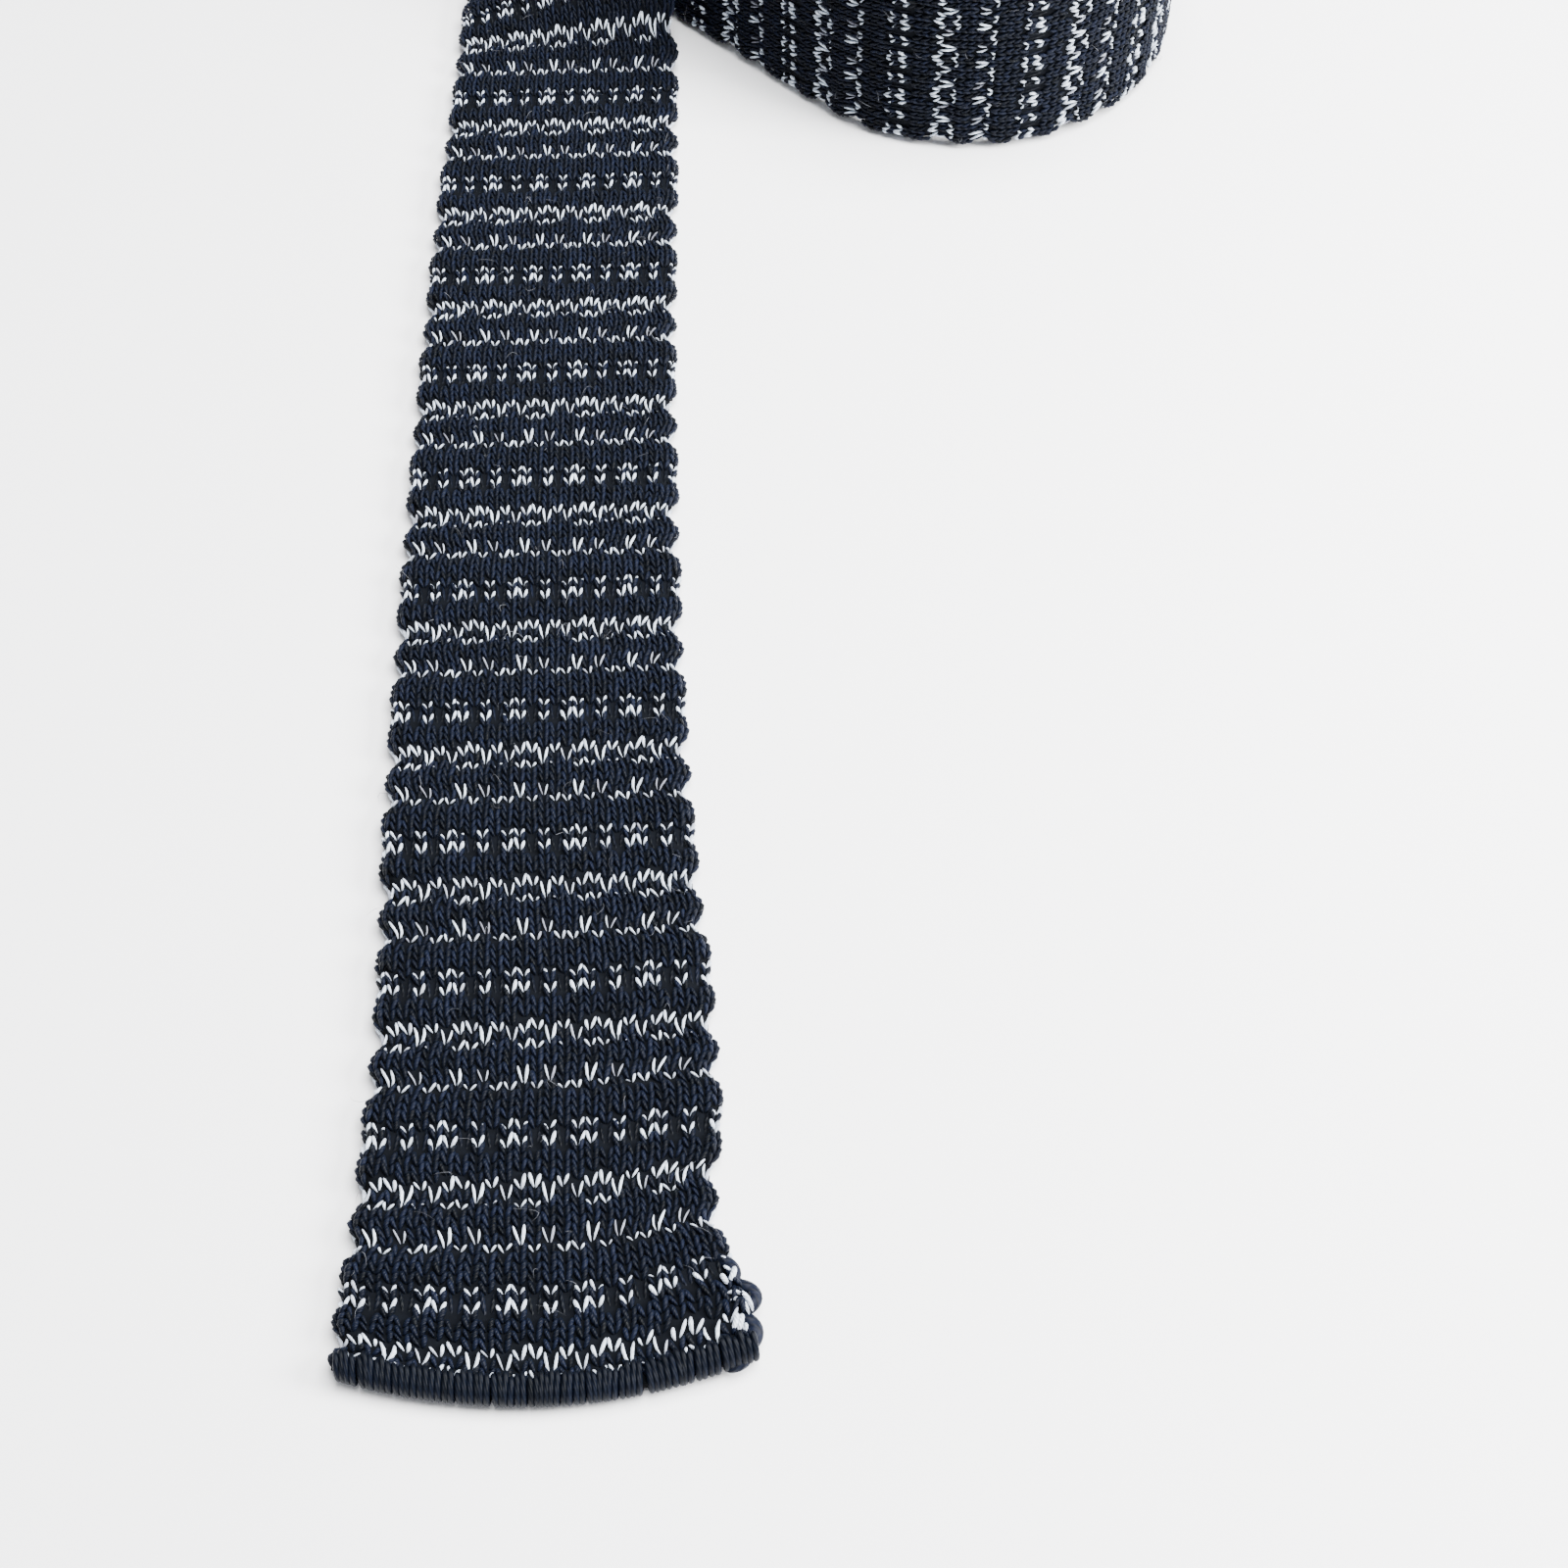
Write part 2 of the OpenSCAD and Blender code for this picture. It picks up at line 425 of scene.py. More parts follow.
def smooth(t: np.ndarray) -> np.ndarray:
    """Eases from 0 to 1 as t goes from 0 to 1."""
    c = np.clip(t, 0, 1)
    return c * c * (3 - 2 * c)


# ---------------------------------------------------------------- the way the tie lies


class TiePath:
    """The tie's middle line, with its across and face directions, by length from the hem.

    A point of the tie is (x, s, z): x across from the middle line, s along it from the front
    hem, and z out of the face.
    """

    STEP = 1.0 * MM
    BEYOND = 20 * MM
    PRESSED = 0.58
    HEM_REACH = 150 * MM
    LIFT = 4.6 * MM
    CORNER_RISE = 1.2 * MM

    def __init__(self, sizes: TieSizes) -> None:
        """Samples the path.

        Args:
            sizes: the tie's sizes.
        """
        self.sizes = sizes
        self.marks: dict[str, int] = {}
        self.runs: list[tuple[np.ndarray, np.ndarray, np.ndarray]] = []
        self._blade()
        self._coil()
        self.middle, self.across, self.face = map(np.concatenate, zip(*self.runs))
        steps = np.linalg.norm(np.diff(self.middle, axis=0), axis=1)
        self.s = np.concatenate([[0], np.cumsum(steps)])
        start = np.interp(0, self.middle[: self.marks["turn"], 1], self.s[: self.marks["turn"]])
        self.s -= start
        self.at = {name: float(self.s[i]) for name, i in self.marks.items()}
        self.at["end"] = float(self.s[-1]) - self.BEYOND
        inside = self.s < self.at["stand"]
        widths = np.full(len(self.s), sizes.band_w)
        widths[inside] = sizes.blade_w(self.middle[inside, 1])
        self.width = widths

    def _blade(self) -> None:
        """Adds the flat blade, its turn and its upright end."""
        z = self.sizes
        y = np.arange(-self.BEYOND, z.stand.y, self.STEP)
        t = (y - z.turn_start) / (z.turn_end - z.turn_start)
        roll = np.pi / 2 * smooth(t) ** 1.2
        width = z.blade_w(y)
        flat_left = z.blade_x(y) - width / 2
        left = flat_left + (z.stand.x - flat_left) * smooth(t) ** 3
        zero = np.zeros_like(y)
        side = np.stack([np.cos(roll), zero, np.sin(roll)], 1)
        up = np.stack([-np.sin(roll), zero, np.cos(roll)], 1)
        edge = np.stack([left, y, z.band_t / 2 * np.cos(roll)], 1)
        self.runs.append((edge + side * width[:, None] / 2, side, up))
        self.marks["turn"] = int(np.searchsorted(y, z.turn_start))
        self.marks["stand"] = int(np.searchsorted(y, z.turn_end))
        self.marks["coil"] = len(y)

    def _coil(self) -> None:
        """Adds the wraps and the tail."""
        z = self.sizes
        gap = z.front_centre - z.back_centre
        heading = math.atan2(gap.y, gap.x)
        angle = math.pi
        leave_front = heading - math.pi / 2
        names = ("outer", "middle", "inner")
        for i, name in enumerate(names):
            back_r, front_r = z.back_radii[i], z.front_radii[i]
            leave_back = heading + math.acos((back_r - front_r) / gap.length)
            self._arc(z.back_centre, back_r, angle, leave_back)
            self._line(z.front_centre, front_r, leave_back)
            self._mark(name + "_front")
            self._arc(z.front_centre, front_r, leave_back, leave_front)
            angle = leave_front + 2 * math.pi
            if i + 1 < len(names):
                self._line(z.back_centre, z.back_radii[i + 1], leave_front)
                self._mark(names[i + 1] + "_back")
        self._mark("tail")
        self.tail_run = Vector((math.sin(leave_front), -math.cos(leave_front)))
        self._straight(z.tail_at.xy + self.tail_run * (z.tail_l + self.BEYOND), leave_front)

    def _mark(self, name: str) -> None:
        """Names the place that the path has reached."""
        self.marks[name] = sum(len(run[0]) for run in self.runs)

    def _arc(self, centre: Vector, radius: float, start: float, stop: float) -> None:
        """Adds an upright arc that runs clockwise.

        Args:
            centre: its centre.
            radius: its radius.
            start: the angle it starts at.
            stop: the smaller angle it stops at.
        """
        count = max(2, round(radius * (start - stop) / self.STEP))
        angle = np.linspace(start, stop, count, endpoint=False)
        out = np.stack([np.cos(angle), np.sin(angle), np.zeros(count)], 1)
        line = out * radius + [centre.x, centre.y, self.sizes.band_w / 2]
        self.runs.append((line, np.tile(UPRIGHT, (count, 1)), out))

    def _line(self, centre: Vector, radius: float, angle: float) -> None:
        """Adds the straight to the next circle, which it touches at the given angle."""
        self._straight(centre + Vector((math.cos(angle), math.sin(angle))) * radius, angle)

    def _straight(self, end: Vector, angle: float) -> None:
        """Adds a straight from the last point.

        Args:
            end: where it ends.
            angle: the way its face looks.
        """
        last = self.runs[-1][0][-1]
        target = np.array([end.x, end.y, self.sizes.band_w / 2])
        count = max(2, round(float(np.linalg.norm(target - last)) / self.STEP))
        share = (np.arange(count) + 1)[:, None] / count
        out = np.tile([math.cos(angle), math.sin(angle), 0.0], (count, 1))
        self.runs.append((last + (target - last) * share, np.tile(UPRIGHT, (count, 1)), out))

    def _at(self, table: np.ndarray, s: np.ndarray) -> np.ndarray:
        """Reads a sampled table of vectors at lengths s."""
        return np.stack([np.interp(s, self.s, table[:, i]) for i in range(3)], 1)

    def width_at(self, s: np.ndarray) -> np.ndarray:
        """Full width of the tie at lengths s."""
        return np.interp(s, self.s, self.width)

    def place(self, x: np.ndarray, s: np.ndarray, z: np.ndarray) -> np.ndarray:
        """Turns points of the tie into points of the row frame.

        Args:
            x: distance across from the middle line.
            s: length along it from the front hem.
            z: distance out of the face from the tube's middle.

        Returns:
            One row of three coordinates for each point.
        """
        z = self._press(x, s, z)
        across = self._at(self.across, s)
        face = self._at(self.face, s)
        points = self._at(self.middle, s) + across * x[:, None] + face * z[:, None]
        return self._shape_hem(points, x, s)

    def _press(self, x: np.ndarray, s: np.ndarray, z: np.ndarray) -> np.ndarray:
        """Presses the back of the knit in where the keeper label lies under it.

        Args:
            x: distance across from the middle line.
            s: length from the front hem.
            z: distance out of the face.

        Returns:
            The new distances out of the face.
        """
        low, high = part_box("keeper_label")
        middle = (low + high) / 2
        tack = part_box("keeper_tack_right")[1].x - high.x
        reach_x = (high.x - low.x) / 2 + tack
        reach_s = (high.y - low.y) / 2
        offset = x + float(self.sizes.blade_x(np.array(middle.y))) - middle.x
        edge = 2.5 * MM
        inside = smooth(1 - (np.abs(offset) - reach_x) / edge)
        inside = inside * smooth(1 - (np.abs(s - middle.y) - reach_s) / edge)
        return np.where(z < 0, z * (1 - self.PRESSED * inside), z)

    def _shape_hem(self, points: np.ndarray, x: np.ndarray, s: np.ndarray) -> np.ndarray:
        """Bows the knit to the hem's curve, opens out its corners and lets its sides sway.

        Args:
            points: the points in the row frame, which are changed.
            x: their distances across from the middle line.
            s: their lengths from the front hem.

        Returns:
            The points.
        """
        z = self.sizes
        near = s < self.HEM_REACH
        share = 2 * x / self.width_at(s)

        def hump(at: float, reach: float) -> np.ndarray:
            """A bell along the tie, around a length in mm and about a reach in mm wide."""
            return np.exp(-(((s - at * MM) / (reach * MM)) ** 2))

        fade = np.exp(-np.maximum(s - z.hem_d / 2, 0) / (11 * MM))
        points[:, 1] += np.where(near, z.hem_bow * share * share * fade, 0)
        rise = smooth((share - 0.15) / 0.85) * np.exp(-np.maximum(s, 0) / (38 * MM))
        rise = rise * smooth((s - 2 * MM) / (11 * MM))
        points[:, 1] += np.where(near, self.LIFT * rise, 0)
        corner = smooth((share - 0.45) / 0.55) * hump(5, 6.5)
        waist = smooth((share - 0.2) / 0.8) * hump(26, 13)
        flare = smooth((-share - 0.1) / 0.9) * hump(0, 25)
        sway = 1.6 * corner - 2.3 * waist - 1.6 * flare + hump(68, 25)
        points[:, 0] += np.where(near, sway * MM, 0)
        points[:, 2] += np.where(near, self.CORNER_RISE * corner, 0)
        return points


# ---------------------------------------------------------------- the flattened tube


@dataclass(frozen=True)
class TubeSection:
    """The flattened tube's section: two flat plies joined by half-round edges."""

    wales: int = 52
    radius: float = 1.45 * MM
    edge_reach: float = 2.25 * MM

    def wrap(
        self, wale: np.ndarray, out: np.ndarray, width: np.ndarray
    ) -> tuple[np.ndarray, np.ndarray, np.ndarray]:
        """Wraps points round the tube.

        Args:
            wale: place round the tube in wales, from the left edge over the face.
            out: distance out of the yarn's middle surface.
            width: full width of the tie there.

        Returns:
            Place across, place out of the tube's middle, and the edge share from 0 to 1.
        """
        r = self.radius
        flat = width - 2 * self.edge_reach
        quarter = np.pi * r / 2
        length = 2 * flat + 4 * quarter
        p = np.mod(wale / self.wales, 1.0) * length
        starts = [quarter, quarter + flat, 3 * quarter + flat, 3 * quarter + 2 * flat]
        conditions = [p < starts[0], p < starts[1], p < starts[2], p < starts[3]]
        a0 = p / r
        a2 = (p - starts[1]) / r
        a4 = (p - starts[3]) / r
        half = flat / 2
        zero, one = np.zeros_like(p), np.ones_like(p)
        nx = np.select(conditions, [-np.cos(a0), zero, np.sin(a2), zero], -np.sin(a4))
        nz = np.select(conditions, [np.sin(a0), one, np.cos(a2), -one], -np.cos(a4))
        cx = np.select(
            conditions, [-half, -half + p - starts[0], half, half - (p - starts[2])], -half
        )
        x = cx + nx * (r + out)
        z = nz * (r + out)
        return x, z, np.abs(nx)


# ---------------------------------------------------------------- the knit pattern


class Yarn(Enum):
    """The two yarns of the knit."""

    NAVY = "navy"
    WHITE = "white"


class Wale(Enum):
    """The columns of the five-wale motif, by what they show in a stripe."""

    PAIR_LEFT = 0
    PAIR_RIGHT = 1
    SLIP_BRIGHT = 2
    SINGLE = 3
    SLIP_FAINT = 4


@dataclass(frozen=True)
class Mark:
    """One V stitch of a stripe, in courses above the bottom of the repeat.

    base is where the V's two legs meet, and left and right are the legs' heights.
    """

    wale: Wale
    base: float
    left: float
    right: float
    yarn: Yarn = Yarn.WHITE
    shade: float = 0.9
    lift: float = 0.0
    girth: float = 1.0


@dataclass(frozen=True)
class Stripe:
    """A patterned stripe: its sideways shift in wales, and its marks."""

    shift: int
    marks: tuple[Mark, ...]


REPEAT = 18
MOTIF = 5

DOTS = Stripe(
    0,
    (
        Mark(Wale.PAIR_LEFT, -0.80, 1.15, 1.75, girth=1.15),
        Mark(Wale.PAIR_RIGHT, -0.62, 1.55, 1.25, girth=1.15),
        Mark(Wale.SINGLE, -0.75, 1.10, 1.45, girth=1.1),
        Mark(Wale.PAIR_LEFT, 1.25, 0.65, 1.15, shade=0.75, girth=0.95),
        Mark(Wale.PAIR_RIGHT, 1.25, 1.15, 0.70, shade=0.75, girth=0.95),
        Mark(Wale.SINGLE, 1.30, 0.70, 0.95, shade=0.75, girth=0.95),
        # These two navy marks sit sunk in the knit; their low shade of 0.1 is painted shade in that
        # hollow.
        Mark(Wale.SLIP_BRIGHT, -1.3, 3.2, 3.2, Yarn.NAVY, 0.1, -0.5 * MM, 0.8),
        Mark(Wale.SLIP_FAINT, -1.3, 3.2, 3.2, Yarn.NAVY, 0.1, -0.5 * MM, 0.8),
    ),
)
FORKS_LOW = Stripe(
    -1,
    (
        Mark(Wale.PAIR_LEFT, 5.85, 0.55, 0.95, shade=0.8, girth=0.9),
        Mark(Wale.PAIR_RIGHT, 5.85, 0.95, 0.70, shade=0.8, girth=0.9),
        Mark(Wale.SINGLE, 5.85, 0.70, 0.80, shade=0.7, girth=0.85),
        Mark(Wale.SLIP_BRIGHT, 6.45, 2.15, 2.05, shade=1.0, lift=0.1 * MM, girth=0.95),
        Mark(Wale.SLIP_FAINT, 6.75, 1.75, 1.55, shade=0.25, lift=-0.1 * MM, girth=0.7),
    ),
)
FORKS_HIGH = Stripe(
    1,
    (
        Mark(Wale.PAIR_LEFT, 10.55, 0.60, 1.00, shade=0.85, girth=0.85),
        Mark(Wale.PAIR_RIGHT, 10.65, 1.00, 0.60, shade=0.8, girth=0.85),
        Mark(Wale.SINGLE, 10.8, 0.40, 0.55, shade=0.4, girth=0.7),
        Mark(Wale.SLIP_BRIGHT, 11.0, 2.35, 2.35, shade=1.0, lift=0.1 * MM, girth=1.0),
        Mark(Wale.SLIP_FAINT, 11.4, 1.9, 1.7, shade=0.55, lift=0.0, girth=0.8),
        Mark(Wale.PAIR_LEFT, 12.55, 1.20, 1.60, shade=0.85, girth=1.1),
        Mark(Wale.PAIR_RIGHT, 12.70, 1.50, 1.20, shade=0.9, girth=1.1),
        Mark(Wale.SINGLE, 12.75, 1.05, 1.15, shade=0.85, girth=1.0),
    ),
)


class KnitPattern:
    """The flat tile that the whole tie repeats: 5 wales by 18 courses."""

    FOOT = 0.06
    HEAD = 0.40
    GROUND_HEIGHT = 1.45

    def __init__(self, stripes: tuple[Stripe, ...]) -> None:
        """Lays out the tile's legs.

        Args:
            stripes: the patterned stripes, from the bottom of the repeat up.
        """
        self.rows: dict[Yarn, list[tuple[float, ...]]] = {yarn: [] for yarn in Yarn}
        for column in range(MOTIF):
            marks = [
                mark
                for stripe in stripes
                for mark in stripe.marks
                if mark.wale.value == (column - stripe.shift) % MOTIF
            ]
            for mark in marks:
                self._add_stitch(column, mark)
            for course in range(REPEAT):
                if not any(self._covers(mark, course) for mark in marks):
                    self._add_stitch(column, self._ground(course))

    def _ground(self, course: int) -> Mark:
        """The plain navy stitch of one course."""
        height = self.GROUND_HEIGHT
        return Mark(Wale.SINGLE, course - 0.62, height, height, Yarn.NAVY, shade=0.5)

    def _covers(self, mark: Mark, course: int) -> bool:
        """Whether a mark takes the place of the plain stitch of a course.

        Args:
            mark: the mark.
            course: the course's number in the repeat.

        Returns:
            True if they overlap by more than half a course, here or a repeat away.
        """
        low, high = mark.base + 0.05, mark.base + max(mark.left, mark.right) - 0.05
        shifts = (-REPEAT, 0, REPEAT)
        return any(
            min(high + k, course + 0.5) - max(low + k, course - 0.5) > 0.55 for k in shifts
        )

    def _add_stitch(self, column: int, mark: Mark) -> None:
        """Adds the two legs of a V stitch.

        Args:
            column: the wale it stands in.
            mark: the stitch.
        """
        middle = column + 0.5
        for side, height in ((-1, mark.left), (1, mark.right)):
            foot = (middle + side * self.FOOT, mark.base)
            head = (middle + side * self.HEAD, mark.base + height)
            self.rows[mark.yarn].append((*foot, *head, mark.shade, mark.lift, mark.girth))

    def table(self, yarn: Yarn) -> np.ndarray:
        """The legs of one yarn, one row each: foot, head, shade, lift and girth."""
        return np.array(self.rows[yarn])


# ---------------------------------------------------------------- loops of yarn as meshes


@dataclass
class LoopShape:
    """A short length of yarn with round ends, as points to copy: side, along and out."""

    points: np.ndarray
    triangles: np.ndarray
    uv: np.ndarray

    @classmethod
    def rounded(cls, around: int, along: int, fullness: float = 2.0) -> "LoopShape":
        """Makes the shape from a sphere's bmesh.

        Args:
            around: faces around the yarn.
            along: faces along it.
            fullness: 2 for a spindle, less for sharper ends and more for a straight tube.

        Returns:
            The shape, with side and out from -1 to 1 and along from 0 to 1.
        """
        bm = bmesh.new()
        layer = bm.loops.layers.uv.new("ply")
        bmesh.ops.create_uvsphere(bm, u_segments=around, v_segments=along, radius=1)
        bmesh.ops.triangulate(bm, faces=bm.faces)
        for face in bm.faces:
            turns = [math.atan2(v.co.y, v.co.x) / (2 * math.pi) for v in face.verts]
            for loop, turn in zip(face.loops, turns):
                if max(turns) - min(turns) > 0.5 and turn < 0:
                    turn += 1
                loop[layer].uv = (turn, (loop.vert.co.z + 1) / 2)
        points = np.array([(v.co.x, (v.co.z + 1) / 2, v.co.y) for v in bm.verts])
        level = np.clip(np.abs(2 * points[:, 1] - 1), 0, 1)
        round_r = np.sqrt(np.maximum(1 - level**2, 1e-9))
        points[:, [0, 2]] *= (np.sqrt(1 - level**fullness) / round_r)[:, None]
        triangles = np.array([[v.index for v in f.verts] for f in bm.faces])
        uv = np.array([tuple(lp[layer].uv) for f in bm.faces for lp in f.loops])
        bm.free()
        # The sphere's up axis has become the second one, so its faces are turned back outwards.
        return cls(points, triangles[:, ::-1], uv.reshape(-1, 3, 2)[:, ::-1].reshape(-1, 2))


class YarnMesh:
    """Builds one mesh object out of many copies of a loop shape."""

    def __init__(self, shape: LoopShape) -> None:
        """Starts with no copies.

        Args:
            shape: the shape that every copy has.
        """
        self.shape = shape
        self.points: list[np.ndarray] = []
        self.shades: list[np.ndarray] = []

    def add(self, points: np.ndarray, shade: np.ndarray) -> None:
        """Adds copies.

        Args:
            points: the copies' points in the row frame, copy after copy.
            shade: one shade for each copy, which is darkened towards the copy's two ends as painted
                shade.
        """
        # Painted shade: each copy's colour is darkened towards its two ends.
        middle = np.sin(np.pi * np.clip(self.shape.points[:, 1], 0, 1))
        ends = 0.2 + 0.8 * np.clip(middle, 0, 1) ** 0.7
        self.points.append(points)
        self.shades.append((shade[:, None] * ends).ravel())

    def build(self, name: str, material: bpy.types.Material) -> bpy.types.Object:
        """Makes the object.

        Args:
            name: the object's name.
            material: its yarn.

        Returns:
            The object, at the origin.
        """
        points = np.concatenate(self.points)
        shade = np.concatenate(self.shades)
        copies = len(points) // len(self.shape.points)
        offsets = np.arange(copies)[:, None, None] * len(self.shape.points)
        triangles = (self.shape.triangles[None] + offsets).reshape(-1, 3)
        uv = np.tile(self.shape.uv, (copies, 1))
        mesh = bpy.data.meshes.new(name)
        mesh.vertices.add(len(points))
        mesh.vertices.foreach_set("co", points.astype(np.float32).ravel())
        mesh.loops.add(triangles.size)
        mesh.loops.foreach_set("vertex_index", triangles.astype(np.int32).ravel())
        mesh.polygons.add(len(triangles))
        mesh.polygons.foreach_set("loop_start", np.arange(0, triangles.size, 3, dtype=np.int32))
        layer = mesh.uv_layers.new(name="ply")
        layer.data.foreach_set("uv", uv.astype(np.float32).ravel())
        attribute = mesh.attributes.new("shade", "FLOAT", "POINT")
        attribute.data.foreach_set("value", shade.astype(np.float32))
        mesh.update(calc_edges=True)
        mesh.validate()
        return add_object(mesh, material)


def bent_yarn(
    shape: LoopShape,
    start: np.ndarray,
    peak: np.ndarray,
    end: np.ndarray,
    radius: np.ndarray,
) -> np.ndarray:
    """Bends one copy of a loop shape along each curve that starts, peaks and ends as given.

    Args:
        shape: the loop shape.
        start: where each curve starts.
        peak: where it is halfway.
        end: where it ends.
        radius: its yarn's radius.

    Returns:
        The copies' points, copy after copy.
    """
    side, t, out = (shape.points[:, i][None, :, None] for i in range(3))
    a, b = start[:, None, :], end[:, None, :]
    control = (2 * peak - (start + end) / 2)[:, None, :]
    middle = (1 - t) ** 2 * a + 2 * t * (1 - t) * control + t**2 * b
    run = 2 * (1 - t) * (control - a) + 2 * t * (b - control)
    run = run / np.maximum(np.linalg.norm(run, axis=2, keepdims=True), 1e-9)
    bend = np.cross(b - a, control - a)
    bend = np.where(np.linalg.norm(bend, axis=2, keepdims=True) < 1e-12, [0.3, 0.5, 1.0], bend)
    bend = bend / np.linalg.norm(bend, axis=2, keepdims=True)
    across = np.cross(bend, run)
    across = across / np.maximum(np.linalg.norm(across, axis=2, keepdims=True), 1e-9)
    points = middle + radius[:, None, None] * (side * across + out * np.cross(run, across))
    return points.reshape(-1, 3)


# ---------------------------------------------------------------- knitted stretches


@dataclass(frozen=True)
class Bend:
    """Two bodies that a piece crosses, and the fold between them."""

    before: str
    after: str
    fold: Vector
    along: Vector
    reach: float = 8 * MM


@dataclass(frozen=True)
class Stretch:
    """One stretch of the tie: its ends along the path, what it rides on and how fine it is."""

    name: str
    start: float
    stop: float
    rides: str | Bend
    nodes: tuple[str, ...]
    face_detail: tuple[int, int]
    back_detail: tuple[int, int]
    hairs: int = 30


def ride_or_bend(piece: bpy.types.Object, rides: str | Bend) -> None:
    """Makes a piece move with its body, or, for a bend, bakes its place into its mesh.

    Args:
        piece: the finished piece.
        rides: a body's name, or a bend.
    """
    if isinstance(rides, Bend):
        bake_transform(piece)
    else:
        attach(piece, rides)


class KnittedTube:
    """The flattened two-colour tube, in stretches that each ride on a body or, across a fold, are
    baked in place.
    """

    COURSE = 29.15 * MM / REPEAT
    FIRST_DOTS = 13.4 * MM
    SIDE_RADIUS = {Yarn.NAVY: 0.205, Yarn.WHITE: 0.15}
    FULLNESS = {Yarn.NAVY: 2.2, Yarn.WHITE: 1.7}
    SHADE_SPREAD = {Yarn.NAVY: 0.3, Yarn.WHITE: 0.22}
    OUT_RADIUS = 0.52 * MM
    ARCH = 0.24 * MM
    TUCK = 0.30 * MM
    CORE_RADIUS = 1.08 * MM
    SCALLOP = 1.5 * MM
    BULGE = 0.6 * MM
    HAIR_RADIUS = 0.035 * MM
    # Each stripe's course, how hard it pulls the knit in, and over how many courses.
    PULLS = ((0.2, 0.35, 1.6), (6.9, 1.0, 1.4), (12.3, 1.0, 1.7))

    def __init__(
        self,
        path: TiePath,
        pattern: KnitPattern,
        yarns: dict[Yarn, bpy.types.Material],
        ground: bpy.types.Material,
        hairs: bpy.types.Material,
    ) -> None:
        """Keeps what every stretch shares.

        Args:
            path: the way the tie lies.
            pattern: the flat tile.
            yarns: a material for each yarn.
            ground: the material of the knit's depth.
            hairs: the material of the stray fibres.
        """
        self.path = path
        self.pattern = pattern
        self.yarns = yarns
        self.ground = ground
        self.hairs = hairs
        self.section = TubeSection()
        self.random = np.random.default_rng(SEED)

    def build(self, stretch: Stretch, trims: list[bpy.types.Object]) -> None:
        """Builds one stretch: its ground, its stitches for each ply and yarn, and its hairs.

        Args:
            stretch: the stretch.
            trims: other pieces sewn to this stretch; not used.
        """
        ground = self._ground(stretch)
        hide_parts(*stretch.nodes)
        stitches = []
        for ply, wales, detail in (
            ("face", range(26), stretch.face_detail),
            ("back", range(26, 52), stretch.back_detail),
        ):
            for yarn in Yarn:
                piece = self._stitches(stretch, ply, wales, yarn, detail)
                stitches.append(piece)
        stitches.append(self._hairs(stretch))
        for piece in (ground, *stitches):
            ride_or_bend(piece, stretch.rides)
        ends = np.linspace(stretch.start, stretch.stop, 50)
        area = float(self.path.width_at(ends).mean()) * (stretch.stop - stretch.start)
        width = float(self.path.width_at(ends).max())
        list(trims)
        LOG.info("stretch %s: %d pieces", stretch.name, 1 + len(stitches))

    def _hairs(self, stretch: Stretch) -> bpy.types.Object:
        """Makes the fine stray wool fibres that stand off the face of the knit.

        Args:
            stretch: the stretch they grow on.

        Returns:
            The fibres as one object.
        """
        shape = LoopShape.rounded(3, 6)
        count = round(stretch.hairs * (stretch.stop - stretch.start) / (80 * MM))
        random = self.random
        wale = random.uniform(0, self.section.wales / 2, count)
        s = random.uniform(stretch.start + 4 * MM, stretch.stop - 4 * MM, count)
        x, z, _ = self.section.wrap(wale, np.full(count, 0.2 * MM), self.path.width_at(s))
        root = np.stack([x, s, z], 1)
        tip = root + random.normal(0, 2.0 * MM, (count, 3))
        peak = (root + tip) / 2 + random.normal(0, 0.8 * MM, (count, 3))
        for points, lift in ((peak, 0.9 * MM), (tip, 0.5 * MM)):
            points[:, 2] = z + np.sign(z) * np.abs(random.normal(lift, 0.3 * MM, count))
        flat = bent_yarn(shape, root, peak, tip, np.full(count, self.HAIR_RADIUS))
        placed = self.path.place(flat[:, 0], flat[:, 1], flat[:, 2])
        placed[:, 2] = np.maximum(placed[:, 2], 0.1 * MM)
        mesh = YarnMesh(shape)
        mesh.add(placed, random.uniform(0, 0.6, count))
        return mesh.build(stretch.name + "_hairs", self.hairs)

    def _ground(self, stretch: Stretch) -> bpy.types.Object:
        """Makes the smooth flattened tube under the stitches.

        Args:
            stretch: the stretch it fills.

        Returns:
            The tube.
        """
        bm = bmesh.new()
        along = max(4, round((stretch.stop - stretch.start) / (1.6 * MM)))
        around = 36
        bmesh.ops.create_cone(bm, cap_ends=True, segments=around, radius1=1, radius2=1, depth=1)
        sides = [e for e in bm.edges if abs(e.verts[0].co.z - e.verts[1].co.z) > 0.5]
        bmesh.ops.subdivide_edges(bm, edges=sides, cuts=along, use_grid_fill=True)
        points = np.array([v.co[:] for v in bm.verts])
        share = np.mod(np.arctan2(points[:, 1], -points[:, 0]) / (2 * np.pi), 1.0)
        s = stretch.start + (points[:, 2] + 0.5) * (stretch.stop - stretch.start)
        width = self._width(s)
        sunk = np.full(len(s), self.CORE_RADIUS - self.section.radius)
        x, z, _ = self.section.wrap(share * self.section.wales, sunk, width)
        placed = self.path.place(x, s, z)
        for vert, point in zip(bm.verts, placed):
            vert.co = point
        bmesh.ops.recalc_face_normals(bm, faces=bm.faces)
        return add_object(mesh_of(bm, stretch.name + "_ground"), self.ground)

    def _width(self, s: np.ndarray) -> np.ndarray:
        """The tube's width, scalloped by its stripes, with fuller edges where it lies flat."""
        flat = smooth((self.path.at["turn"] - s) / (40 * MM))
        return self.path.width_at(s) + 2 * self.BULGE * flat - 2 * self.SCALLOP * self._drawn(s)

